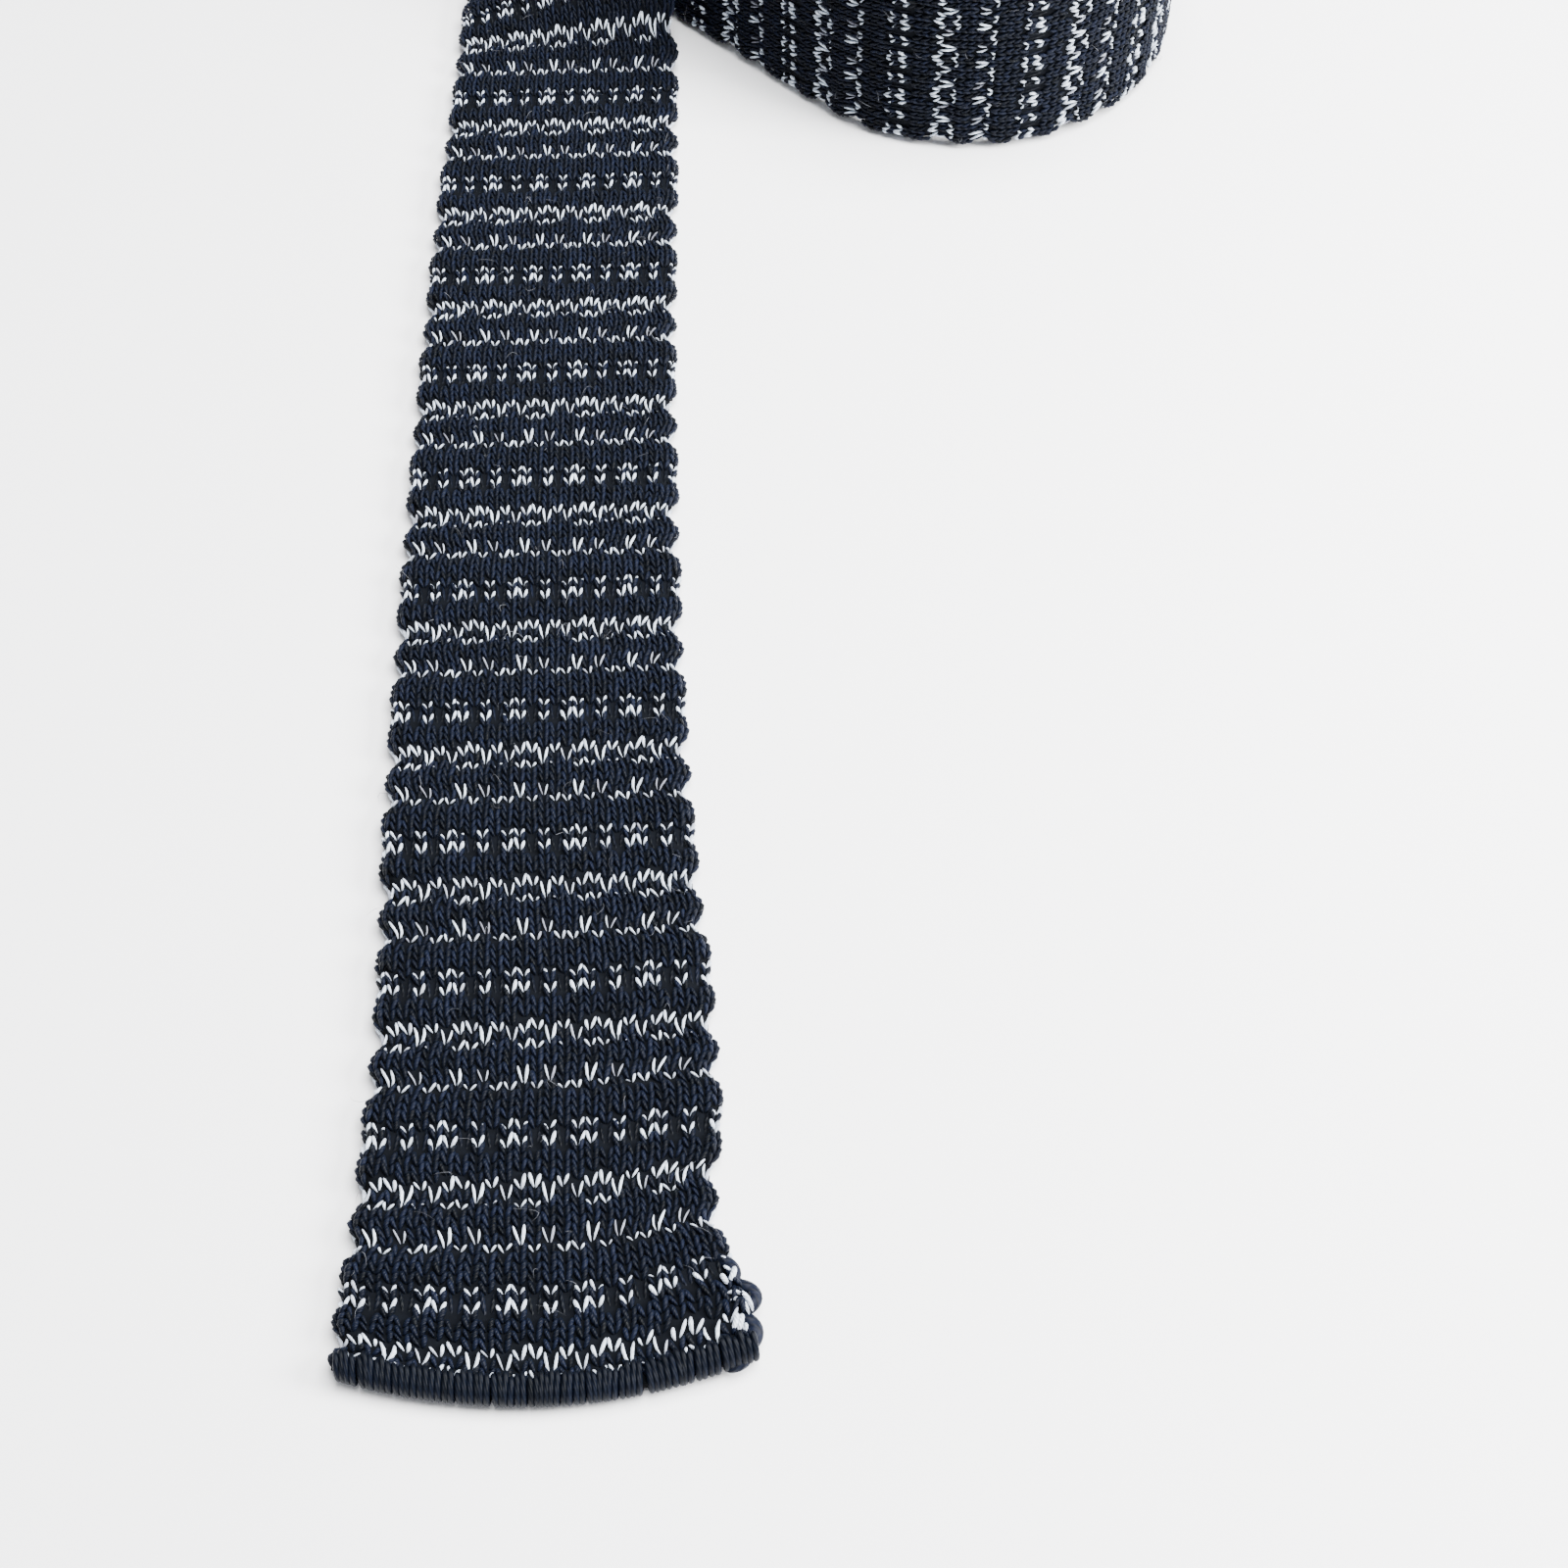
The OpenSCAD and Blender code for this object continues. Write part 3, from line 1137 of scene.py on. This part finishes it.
    def _drawn(self, s: np.ndarray) -> np.ndarray:
        """Works out how much the stripes draw the knit in.

        Args:
            s: lengths from the front hem.

        Returns:
            A share for each, from 0 between the stripes to 1 at a tight one.
        """
        phase = np.mod((s - self.FIRST_DOTS) / self.COURSE, REPEAT)
        drawn = np.zeros_like(s)
        for course, depth, spread in self.PULLS:
            gap = np.abs(phase - course)
            gap = np.minimum(gap, REPEAT - gap)
            drawn = np.maximum(drawn, depth * np.exp(-((gap / spread) ** 2)))
        return drawn

    def _stitches(
        self,
        stretch: Stretch,
        ply: str,
        wales: range,
        yarn: Yarn,
        detail: tuple[int, int],
    ) -> bpy.types.Object:
        """Makes the stitches of one yarn on one ply of a stretch.

        Args:
            stretch: the stretch.
            ply: the ply's name.
            wales: the ply's wales.
            yarn: the yarn.
            detail: faces around and along each leg.

        Returns:
            The stitches as one object.
        """
        shape = LoopShape.rounded(*detail, self.FULLNESS[yarn])
        table = self.pattern.table(yarn)
        first = math.floor((stretch.start - self.FIRST_DOTS) / self.COURSE / REPEAT) - 1
        last = math.ceil((stretch.stop - self.FIRST_DOTS) / self.COURSE / REPEAT) + 1
        legs = []
        for wale in wales:
            column = wale % MOTIF
            mine = table[np.floor(table[:, [0, 2]].mean(1)) == column].copy()
            mine[:, [0, 2]] += wale - column
            for repeat in range(first, last):
                copy = mine.copy()
                copy[:, [1, 3]] += repeat * REPEAT
                legs.append(copy)
        legs = np.concatenate(legs)
        middle = self.FIRST_DOTS + legs[:, [1, 3]].mean(1) * self.COURSE
        legs = legs[(middle >= stretch.start) & (middle < stretch.stop)]
        mesh = YarnMesh(shape)
        shade = legs[:, 4] + self.random.normal(0, self.SHADE_SPREAD[yarn], len(legs))
        laid = self._lay_legs(shape, legs, self.SIDE_RADIUS[yarn])
        mesh.add(laid, np.clip(shade, 0, 1))
        return mesh.build(f"{stretch.name}_{ply}_{yarn.value}", self.yarns[yarn])

    def _lay_legs(self, shape: LoopShape, legs: np.ndarray, radius: float) -> np.ndarray:
        """Shapes each leg on the flat tile, then wraps it round the tube and along the tie.

        Args:
            shape: the leg's loop shape.
            legs: one row for each leg, as the pattern gives them.
            radius: half the leg's width, in wales.

        Returns:
            The legs' points, leg after leg.
        """
        count, size = len(legs), len(shape.points)
        side, along, out = (np.tile(shape.points[:, i], (count, 1)) for i in range(3))
        jitter = self.random.normal(0, 1, (count, 5, 1))
        foot_x = legs[:, 0:1] + 0.025 * jitter[:, 0]
        head_x = legs[:, 2:3] + 0.04 * jitter[:, 1]
        foot_y = legs[:, 1:2] + 0.08 * jitter[:, 2] - 0.05 * jitter[:, 3]
        head_y = legs[:, 3:4] + 0.08 * jitter[:, 2] + 0.10 * jitter[:, 3]
        girth = legs[:, 6:7] * (1 + 0.10 * jitter[:, 3])
        lift = legs[:, 5:6] + 0.05 * MM * jitter[:, 4]
        lean = np.sign(head_x - foot_x)
        arch = np.sin(np.pi * along)
        taper = 0.72 + 0.28 * along
        x = foot_x + (head_x - foot_x) * along**0.8 + side * radius * girth * taper
        x = x + lean * 0.03 * arch
        y = foot_y + (head_y - foot_y) * along
        tuck = self.TUCK * (1 - along) ** 2
        height = lift + self.ARCH * arch - tuck + out * self.OUT_RADIUS * np.sqrt(girth) * taper
        s = (self.FIRST_DOTS + y * self.COURSE).ravel()
        width = self._width(s)
        edge = self.section.wrap(x.ravel(), np.zeros(count * size), width)[2]
        hollow = self._drawn(s) * (0.14 + 0.3 * edge) * MM
        across, outward, _ = self.section.wrap(x.ravel(), height.ravel() - hollow, width)
        return self.path.place(across, s, outward)


# ---------------------------------------------------------------- hems, keeper and labels


@dataclass(frozen=True)
class OvercastEdge:
    """Doubled yarn sewn over one raw end of the tube, bar after bar."""

    name: str
    node: str
    edge: float
    outward: int
    bars: int
    thickness: float
    depth: float
    rides: str
    lean: float = 0.0
    yarn_radius: float = 0.57 * MM

    def build(self, path: TiePath, material: bpy.types.Material) -> bpy.types.Object:
        """Builds the bars as one object.

        Args:
            path: the way the tie lies.
            material: the bars' yarn.

        Returns:
            The overcast edge.
        """
        random = np.random.default_rng(SEED + self.bars)
        shape = LoopShape.rounded(8, 26, 9)
        width = float(path.width_at(np.array([self.edge]))[0])
        count = 2 * self.bars
        bar = np.repeat(np.arange(self.bars), 2)
        strand = np.tile([-1.0, 1.0], self.bars)
        share = (2 * (bar + 0.5) / self.bars - 1) * (1 - 0.9 * MM / (width / 2))
        sway = np.repeat(random.normal(0, 0.07 / self.bars, self.bars), 2)
        share = share + strand * 0.47 / self.bars + sway + random.normal(0, 0.04 / self.bars, count)
        side, t, out = (shape.points[:, i][None, :] for i in range(3))
        turn_r = self.thickness / 2 - self.yarn_radius
        overlap = random.normal(-0.2 * MM, 0.35 * MM, count)[:, None]
        reach = self.depth + overlap - self.yarn_radius - turn_r
        length = 2 * reach + np.pi * turn_r
        p = t * length
        angle = np.clip((p - reach) / turn_r, 0, np.pi)
        along = np.where(p < reach, p, np.where(p > reach + np.pi * turn_r, length - p, reach))
        level = turn_r + out * self.yarn_radius
        down = along - overlap + np.sin(angle) * level
        z = np.cos(angle) * level
        half = width / 2
        x = share[:, None] * half + side * self.yarn_radius * 0.92
        slant = self.lean * smooth((share - 0.2) / 0.8)
        slant = slant + np.repeat(random.normal(0, 0.05, self.bars), 2)
        x = x + slant[:, None] * down
        s = self.edge + self.outward * down
        lying = (self.thickness - path.sizes.band_t) / 2 if self.outward < 0 else 0.0
        mesh = YarnMesh(shape)
        mesh.add(
            path.place(x.ravel(), s.ravel(), (z + lying).ravel()),
            np.clip(random.normal(0.55, 0.2, count), 0, 1),
        )
        piece = mesh.build(self.name, material)
        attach(piece, self.rides)
        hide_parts(self.node)
        LOG.info("overcast edge %s: %d bars", self.name, self.bars)
        return piece


@dataclass(frozen=True)
class CornerLoop:
    """One pulled loop at the hem's right corner, in millimetres from the hem's middle."""

    start: tuple[float, float, float]
    peak: tuple[float, float, float]
    end: tuple[float, float, float]
    radius: float
    yarn: Yarn = Yarn.NAVY


CORNER_LOOPS = (
    CornerLoop((26.6, 21.0, 3.0), (29.8, 18.4, 3.0), (27.9, 15.4, 3.2), 1.15),
    CornerLoop((29.2, 16.4, 3.4), (33.0, 14.2, 3.0), (30.6, 11.0, 3.0), 1.20),
    CornerLoop((29.9, 11.2, 3.0), (32.9, 8.2, 2.7), (29.9, 4.4, 2.6), 1.35),
    CornerLoop((28.9, 6.0, 2.6), (31.2, 4.3, 2.2), (28.2, 2.2, 2.4), 1.10),
    CornerLoop((28.6, 14.2, 4.2), (31.2, 13.9, 4.5), (32.6, 11.1, 4.0), 0.42, Yarn.WHITE),
    CornerLoop((29.1, 13.0, 4.2), (30.9, 12.8, 4.6), (32.0, 10.6, 4.0), 0.34, Yarn.WHITE),
    CornerLoop((29.9, 18.8, 3.9), (29.7, 17.4, 4.4), (29.0, 16.1, 4.3), 0.46, Yarn.WHITE),
    CornerLoop((27.8, 17.4, 4.3), (28.2, 16.6, 4.6), (28.8, 15.7, 4.4), 0.44, Yarn.WHITE),
    CornerLoop((30.9, 10.6, 4.5), (30.7, 9.2, 4.8), (30.2, 7.8, 4.5), 0.46, Yarn.WHITE),
    CornerLoop((30.1, 10.7, 4.6), (29.9, 9.3, 4.9), (29.4, 7.9, 4.6), 0.44, Yarn.WHITE),
)


def build_corner(yarns: dict[Yarn, bpy.types.Material]) -> list[bpy.types.Object]:
    """Builds the pulled loops of the hem's right corner, one object for each yarn.

    Args:
        yarns: a material for each yarn.

    Returns:
        The two objects.
    """
    pieces = []
    shape = LoopShape.rounded(12, 20, 4)
    for yarn in Yarn:
        loops = [loop for loop in CORNER_LOOPS if loop.yarn is yarn]
        ends = [np.array([getattr(g, k) for g in loops]) * MM for k in ("start", "peak", "end")]
        mesh = YarnMesh(shape)
        radius = np.array([g.radius for g in loops]) * MM
        mesh.add(bent_yarn(shape, *ends, radius), np.full(len(loops), 0.7))
        piece = mesh.build("corner_loops_" + yarn.value, yarns[yarn])
        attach(piece, "tip")
        pieces.append(piece)
    return pieces


@dataclass(frozen=True)
class WovenTape:
    """Blank satin label tape.

    To the eye it is a warm light grey with a soft lengthwise gleam and fine crosswise ribs.
    """

    name: str = "label_tape_woven_satin"
    warp: str = "#bdb8ad"
    weft: str = "#98938a"
    pick: float = 0.25 * MM
    relief: float = 0.06 * MM

    def material(self) -> bpy.types.Material:
        """Builds the tape's material, on a UV map in metres.

        Returns:
            The material.
        """
        surface = Surface(self.name)
        tree = surface.tree
        uv = add_node(tree, "UVMap", {"uv_map": "tape"}).outputs["UV"]
        waves = [
            add_node(
                tree,
                "TexWave",
                {"bands_direction": direction},
                {"Vector": uv, "Scale": math.pi / 10 / pitch, "Distortion": 0.4},
            ).outputs["Fac"]
            for direction, pitch in (("X", self.pick), ("Y", 2 * self.pick))
        ]
        weave = add_node(tree, "Math", {"operation": "MULTIPLY"}, dict(enumerate(waves)))
        crossings = weave.outputs["Value"]
        return surface.finish(
            {
                "Base Color": surface.mix(crossings, linear(self.weft), linear(self.warp)),
                "Roughness": 0.45,
                "Sheen Weight": 0.3,
                "Anisotropic": 0.4,
                "Normal": surface.bump(crossings, 0.5, self.relief),
            }
        )


@dataclass
class LabelTapes:
    """The keeper label with its bar tacks, and the fibre label on the tail."""

    path: TiePath
    tape: bpy.types.Material
    thread: bpy.types.Material
    tape_t: float = 0.42 * MM
    flap_t: float = 0.34 * MM
    flap_l: float = 21.2 * MM
    strip_l: float = 3.2 * MM
    tack_rows: int = 34
    sewn_stitches: int = 9

    def _strip(
        self,
        name: str,
        size: tuple[float, float, float],
        place: Callable[[float, float], Vector],
    ) -> bpy.types.Object:
        """A strip of tape laid where a function of its length and its width says.

        Args:
            name: the piece's name.
            size: the strip's length, width and thickness.
            place: turns a length and a width into a point.

        Returns:
            The strip.
        """
        length, width, thickness = size
        bm = bmesh.new()
        bmesh.ops.create_grid(bm, x_segments=48, y_segments=14, size=0.5)
        layer = bm.loops.layers.uv.new("tape")
        for face in bm.faces:
            for loop in face.loops:
                loop[layer].uv = (loop.vert.co.x * length, loop.vert.co.y * width)
        for vert in bm.verts:
            vert.co = place((vert.co.x + 0.5) * length, vert.co.y * width)
        bmesh.ops.solidify(bm, geom=bm.faces[:], thickness=thickness)
        bmesh.ops.recalc_face_normals(bm, faces=bm.faces)
        strip = add_object(mesh_of(bm, name), self.tape)
        return strip

    def _stitches(
        self, name: str, ends: list[tuple[Vector, Vector, Vector]], radius: float
    ) -> bpy.types.Object:
        """Makes thread stitches as one object.

        Args:
            name: the piece's name.
            ends: each stitch's start, peak and end.
            radius: the thread's radius.

        Returns:
            The stitches.
        """
        shape = LoopShape.rounded(6, 8)
        curves = [np.array([e[i][:] for e in ends]) for i in range(3)]
        mesh = YarnMesh(shape)
        points = bent_yarn(shape, *curves, np.full(len(ends), radius))
        mesh.add(points, np.full(len(ends), 0.5))
        piece = mesh.build(name, self.thread)
        return piece

    def build_keeper(self) -> None:
        """Builds the keeper in two halves that bend at its tacks, and the two tacks."""
        low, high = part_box("keeper_label")
        middle = (low + high) / 2
        half = (high.x - low.x) / 2
        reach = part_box("keeper_tack_right")[1].x - middle.x - 0.5 * MM
        for side, name in ((-1, "keeper_left"), (1, "keeper_right")):

            def place(along: float, across: float) -> Vector:
                """Lays a point of the half flat, dipping into the tack at its outer end."""
                rise = 0.55 * MM * float(smooth(np.array((along - half + 3 * MM) / (4 * MM))))
                wave = 0.10 * MM * math.sin(along / (3.1 * MM)) * math.cos(across / (4 * MM))
                return Vector(
                    (middle.x + side * along, middle.y + across, middle.z - 0.05 * MM + rise + wave)
                )

            piece = self._strip(name, (reach, high.y - low.y - 0.2 * MM, self.tape_t), place)
            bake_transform(piece)
        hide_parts("keeper_label")
        for name in ("keeper_tack_left", "keeper_tack_right"):
            self._tack(name)

    def _tack(self, name: str) -> None:
        """Sews one dense bar tack, thread beside thread.

        Args:
            name: the tack's node.
        """
        low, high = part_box(name)
        ends = []
        for i in range(self.tack_rows):
            y = low.y + (high.y - low.y) * (i + 0.5) / self.tack_rows
            lean = 0.25 * MM * (-1) ** i
            left = Vector((low.x + 0.1 * MM, y - lean, high.z - 0.1 * MM))
            right = Vector((high.x - 0.1 * MM, y + lean, high.z - 0.1 * MM))
            peak = Vector(((low.x + high.x) / 2, y, low.z + 0.42 * MM))
            ends.append((left, peak, right))
        piece = self._stitches(name + "_thread", ends, 0.30 * MM)
        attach(piece, "middle_blade")
        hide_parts(name)

    def build_fibre_label(self) -> None:
        """Builds the fibre label: the sewn strip, and the folded flap that turns on its edge."""
        low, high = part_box("fibre_label_strip")
        height = high.z - low.z
        level = (high.z + low.z) / 2 - self.path.sizes.band_w / 2
        arm = (self.path.sizes.folds["fibre_label_turn"] - self.path.sizes.tail_at).xy
        run = self.path.tail_run
        pivot = self.path.at["tail"] + arm.dot(run)
        depth = abs(arm.dot(Vector((run.y, -run.x))))

        def on_tail(across: float, along: float, out: float) -> Vector:
            """A point by its height, its length past the pivot and its distance off the label."""
            tail_point = (level + across, pivot + along, out - depth)
            return Vector(self.path.place(*(np.array([v]) for v in tail_point))[0])

        def sewn(along: float, across: float) -> Vector:
            """Lays a point of the strip against the band."""
            return on_tail(across, along - 3.9 * MM, -0.05 * MM)

        def folded(along: float, across: float) -> Vector:
            """Lays a point of the flap on a loop, out to its fold and back.

            Args:
                along: length round the loop from its sewn end.
                across: height from the label's middle.

            Returns:
                The point.
            """
            outward = along < self.flap_l
            there = along if outward else 2 * self.flap_l - along
            turn = -0.21 * MM if outward else 0.21 * MM
            ease = float(smooth(np.array((self.flap_l - there) / (0.6 * MM))))
            return on_tail(across, there + 0.3 * MM, turn * ease)

        strip = self._strip("fibre_label_sewn", (self.strip_l, height, self.tape_t), sewn)
        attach(strip, "tail")
        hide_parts("fibre_label_strip")
        loop_l = 2 * self.flap_l
        flap = self._strip("fibre_label_loop", (loop_l, height, self.flap_t), folded)
        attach(flap, "fibre_label")
        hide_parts("fibre_label_flap")
        ends = []
        for i in range(self.sewn_stitches):
            across = height * ((i + 0.5) / self.sewn_stitches - 0.5)
            curve = ((-0.55, 0.28), (0.0, 0.55), (0.55, 0.28))
            ends.append(tuple(on_tail(across + a * MM, -2.3 * MM, -b * MM) for a, b in curve))
        stitches = self._stitches("fibre_label_stitches", ends, 0.14 * MM)
        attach(stitches, "tail")
        LOG.info("fibre label: strip, flap and stitches")


# ---------------------------------------------------------------- camera, floor and light


@dataclass(frozen=True)
class Studio:
    """The camera over the front of the blade, a plain pale floor and soft light."""

    eye: Vector = Vector((31.9 * MM, -132.9 * MM, 354.8 * MM))
    pitch_down: float = 55.05
    heading: float = -2.23
    lens_mm: float = 54.0
    floor_gap: float = 0.2 * MM
    overhead_power: float = 46
    right_power: float = 25
    fill: float = 0.62

    def build(self, low: Vector, high: Vector) -> None:
        """Makes the camera, the floor and the lights.

        Args:
            low: the object's lowest corner.
            high: its highest corner.
        """
        camera = bpy.data.cameras.new("camera")
        camera.lens = self.lens_mm
        camera.sensor_width = 36
        camera.clip_start = 0.01
        holder = bpy.data.objects.new("camera", camera)
        holder.location = self.eye
        turn = (math.radians(90 - self.pitch_down), 0, math.radians(self.heading))
        holder.rotation_euler = Euler(turn)
        bpy.context.scene.collection.objects.link(holder)
        bpy.context.scene.camera = holder
        self._floor(low)
        middle = (low + high) / 2
        above, right = middle + Vector((0.25, 0.0, 0.95)), middle + Vector((0.7, -0.2, 0.42))
        self._light("overhead", above, middle, 0.8, self.overhead_power)
        self._light("right", right, middle, 0.35, self.right_power)
        world = bpy.data.worlds.new("studio")
        world.use_nodes = True
        background = world.node_tree.nodes["Background"]
        background.inputs["Color"].default_value = linear("#f4f6fb")
        background.inputs["Strength"].default_value = self.fill
        bpy.context.scene.world = world

    def _floor(self, low: Vector) -> None:
        """Adds the pale floor, just under the object.

        Args:
            low: the object's lowest corner.
        """
        bm = bmesh.new()
        bmesh.ops.create_grid(bm, x_segments=1, y_segments=1, size=6)
        surface = Surface("floor_matt_paint")
        paint = surface.finish({"Base Color": linear("#fdfdfe"), "Roughness": 0.9})
        floor = add_object(mesh_of(bm, "floor"), paint)
        floor.location.z = low.z - self.floor_gap
        floor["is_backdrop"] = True

    def _light(self, name: str, place: Vector, target: Vector, size: float, power: float) -> None:
        """Adds one square soft light.

        Args:
            name: its name.
            place: where it is.
            target: what it is aimed at.
            size: its side.
            power: its power in watts.
        """
        data = bpy.data.lights.new(name, "AREA")
        data.size = size
        data.energy = power
        light = bpy.data.objects.new(name, data)
        light.location = place
        light.rotation_mode = "QUATERNION"
        light.rotation_quaternion = (target - place).to_track_quat("-Z", "Y")
        bpy.context.scene.collection.objects.link(light)


# ---------------------------------------------------------------- the whole tie


def stretches(path: TiePath) -> list[Stretch]:
    """Divides the tie where its bodies are stiff, so that every join falls between two folds.

    Args:
        path: the way the tie lies.

    Returns:
        The stretches, from the hem to the tail.
    """
    sizes, folds, at = path.sizes, path.sizes.folds, path.at
    to_hem = Vector((0, -1, 0))
    beyond_fold = 25 * MM
    fine, medium, plain, coarse = (6, 5), (5, 4), (4, 3), (4, 2)
    blade = (
        ("tip", "lower_blade", "tip", "tip_lift", ("blade_tip",)),
        ("lower", "middle_blade", "lower_blade", "lower_lift", ("blade_lower",)),
        ("middle", "upper_blade", "middle_blade", "middle_lift", ("blade_middle",)),
        ("turn", "coil", "upper_blade", "coil_unroll", ("blade_upper", "blade_turn", "blade_stand")),
    )
    places = [folds[joint].y for _, _, _, joint, _ in blade[:3]] + [sizes.turn_start]
    stops = [(near + far) / 2 for near, far in zip(places, places[1:])]
    found = []
    start = -1.0 * MM
    for (name, before, after, joint, nodes), stop in zip(blade, (*stops, at["coil"] + beyond_fold)):
        bend = Bend(before, after, folds[joint], to_hem)
        found.append(Stretch(name, start, stop, bend, nodes, fine, plain))
        start = stop
    wraps = (
        ("outer_back", at["outer_front"], ("outer_wrap_back", "outer_wrap_right"), medium, plain),
        ("outer_front", at["middle_back"], ("outer_wrap_front", "middle_wrap_left"), medium, plain),
        ("middle_back", at["middle_front"], ("middle_wrap_back", "middle_wrap_right"), coarse, coarse),
        ("middle_front", at["inner_back"], ("middle_wrap_front", "inner_wrap_left"), coarse, coarse),
        ("inner_back", at["inner_front"], ("inner_wrap_back", "inner_wrap_right"), coarse, coarse),
        ("inner_front", at["tail"] - beyond_fold, ("inner_wrap_front",), coarse, coarse),
    )
    for name, stop, nodes, face, back in wraps:
        found.append(Stretch(name, start, stop, "coil", nodes, face, back))
        start = stop
    bend = Bend("coil", "tail", folds["tail_swing"], path.tail_run.to_3d())
    found.append(Stretch("tail", start, at["end"] + 1 * MM, bend, ("tail_end",), plain, plain))
    return found


NAVY_WOOL = WoolYarn(
    name="yarn_navy_wool",
    groove_shade="#010204",
    dim="#020408",
    bright="#0c1223",
    sheen=0.03,
    sheen_tint="#5f7dc0",
    roughness=0.5,
    gloss=0.10,
)
WHITE_WOOL = WoolYarn(
    name="yarn_white_wool",
    groove_shade="#5f6d8a",
    dim="#7b7a83",
    bright="#e6f2ff",
    sheen=0.2,
    sheen_tint="#e6f0ff",
)
OVERCAST_NAVY = replace(
    NAVY_WOOL, name="yarn_overcast_navy", bright="#070c18", sheen=0.02, gloss=0.08
)
GREY_FIBRE = WoolYarn(
    name="stray_fibre_grey_wool",
    groove_shade="#3a3c44",
    dim="#2a2d36",
    bright="#b9bcc6",
    sheen=0.2,
    sheen_tint="#ffffff",
)
TACK_THREAD = WoolYarn(
    name="tack_thread_polyester",
    groove_shade="#020203",
    dim="#07080b",
    bright="#171a20",
    sheen=0.05,
    sheen_tint="#6d82ab",
    roughness=0.4,
)


def main() -> None:
    """Builds the tie around its frame, piece by piece."""
    logging.basicConfig(level=logging.INFO, format="%(name)s: %(message)s")
    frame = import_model()
    cad_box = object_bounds()
    sizes = TieSizes.from_frame(frame["joints"])
    Studio().build(*cad_box)
    path = TiePath(sizes)
    yarns = {Yarn.NAVY: NAVY_WOOL.material(), Yarn.WHITE: WHITE_WOOL.material()}
    pattern = KnitPattern((DOTS, FORKS_LOW, FORKS_HIGH))
    tube = KnittedTube(path, pattern, yarns, KnitGround().material(), GREY_FIBRE.material())
    bars = OVERCAST_NAVY.material()
    edge = {"thickness": sizes.hem_t, "depth": sizes.hem_d}
    front = OvercastEdge(
        "overcast_hem", "front_hem", sizes.hem_d / 2, -1, 35, rides="tip", lean=0.35, **edge
    )
    back = OvercastEdge("tail_overcast", "tail_hem", path.at["end"], 1, 28, rides="tail", **edge)
    trims = {
        "tip": [front.build(path, bars), *build_corner(yarns)],
        "tail": [back.build(path, bars)],
    }
    for stretch in stretches(path):
        tube.build(stretch, trims.get(stretch.name, []))
    labels = LabelTapes(path, WovenTape().material(), TACK_THREAD.material())
    labels.build_keeper()
    labels.build_fibre_label()


if __name__ == "__main__":
    main()
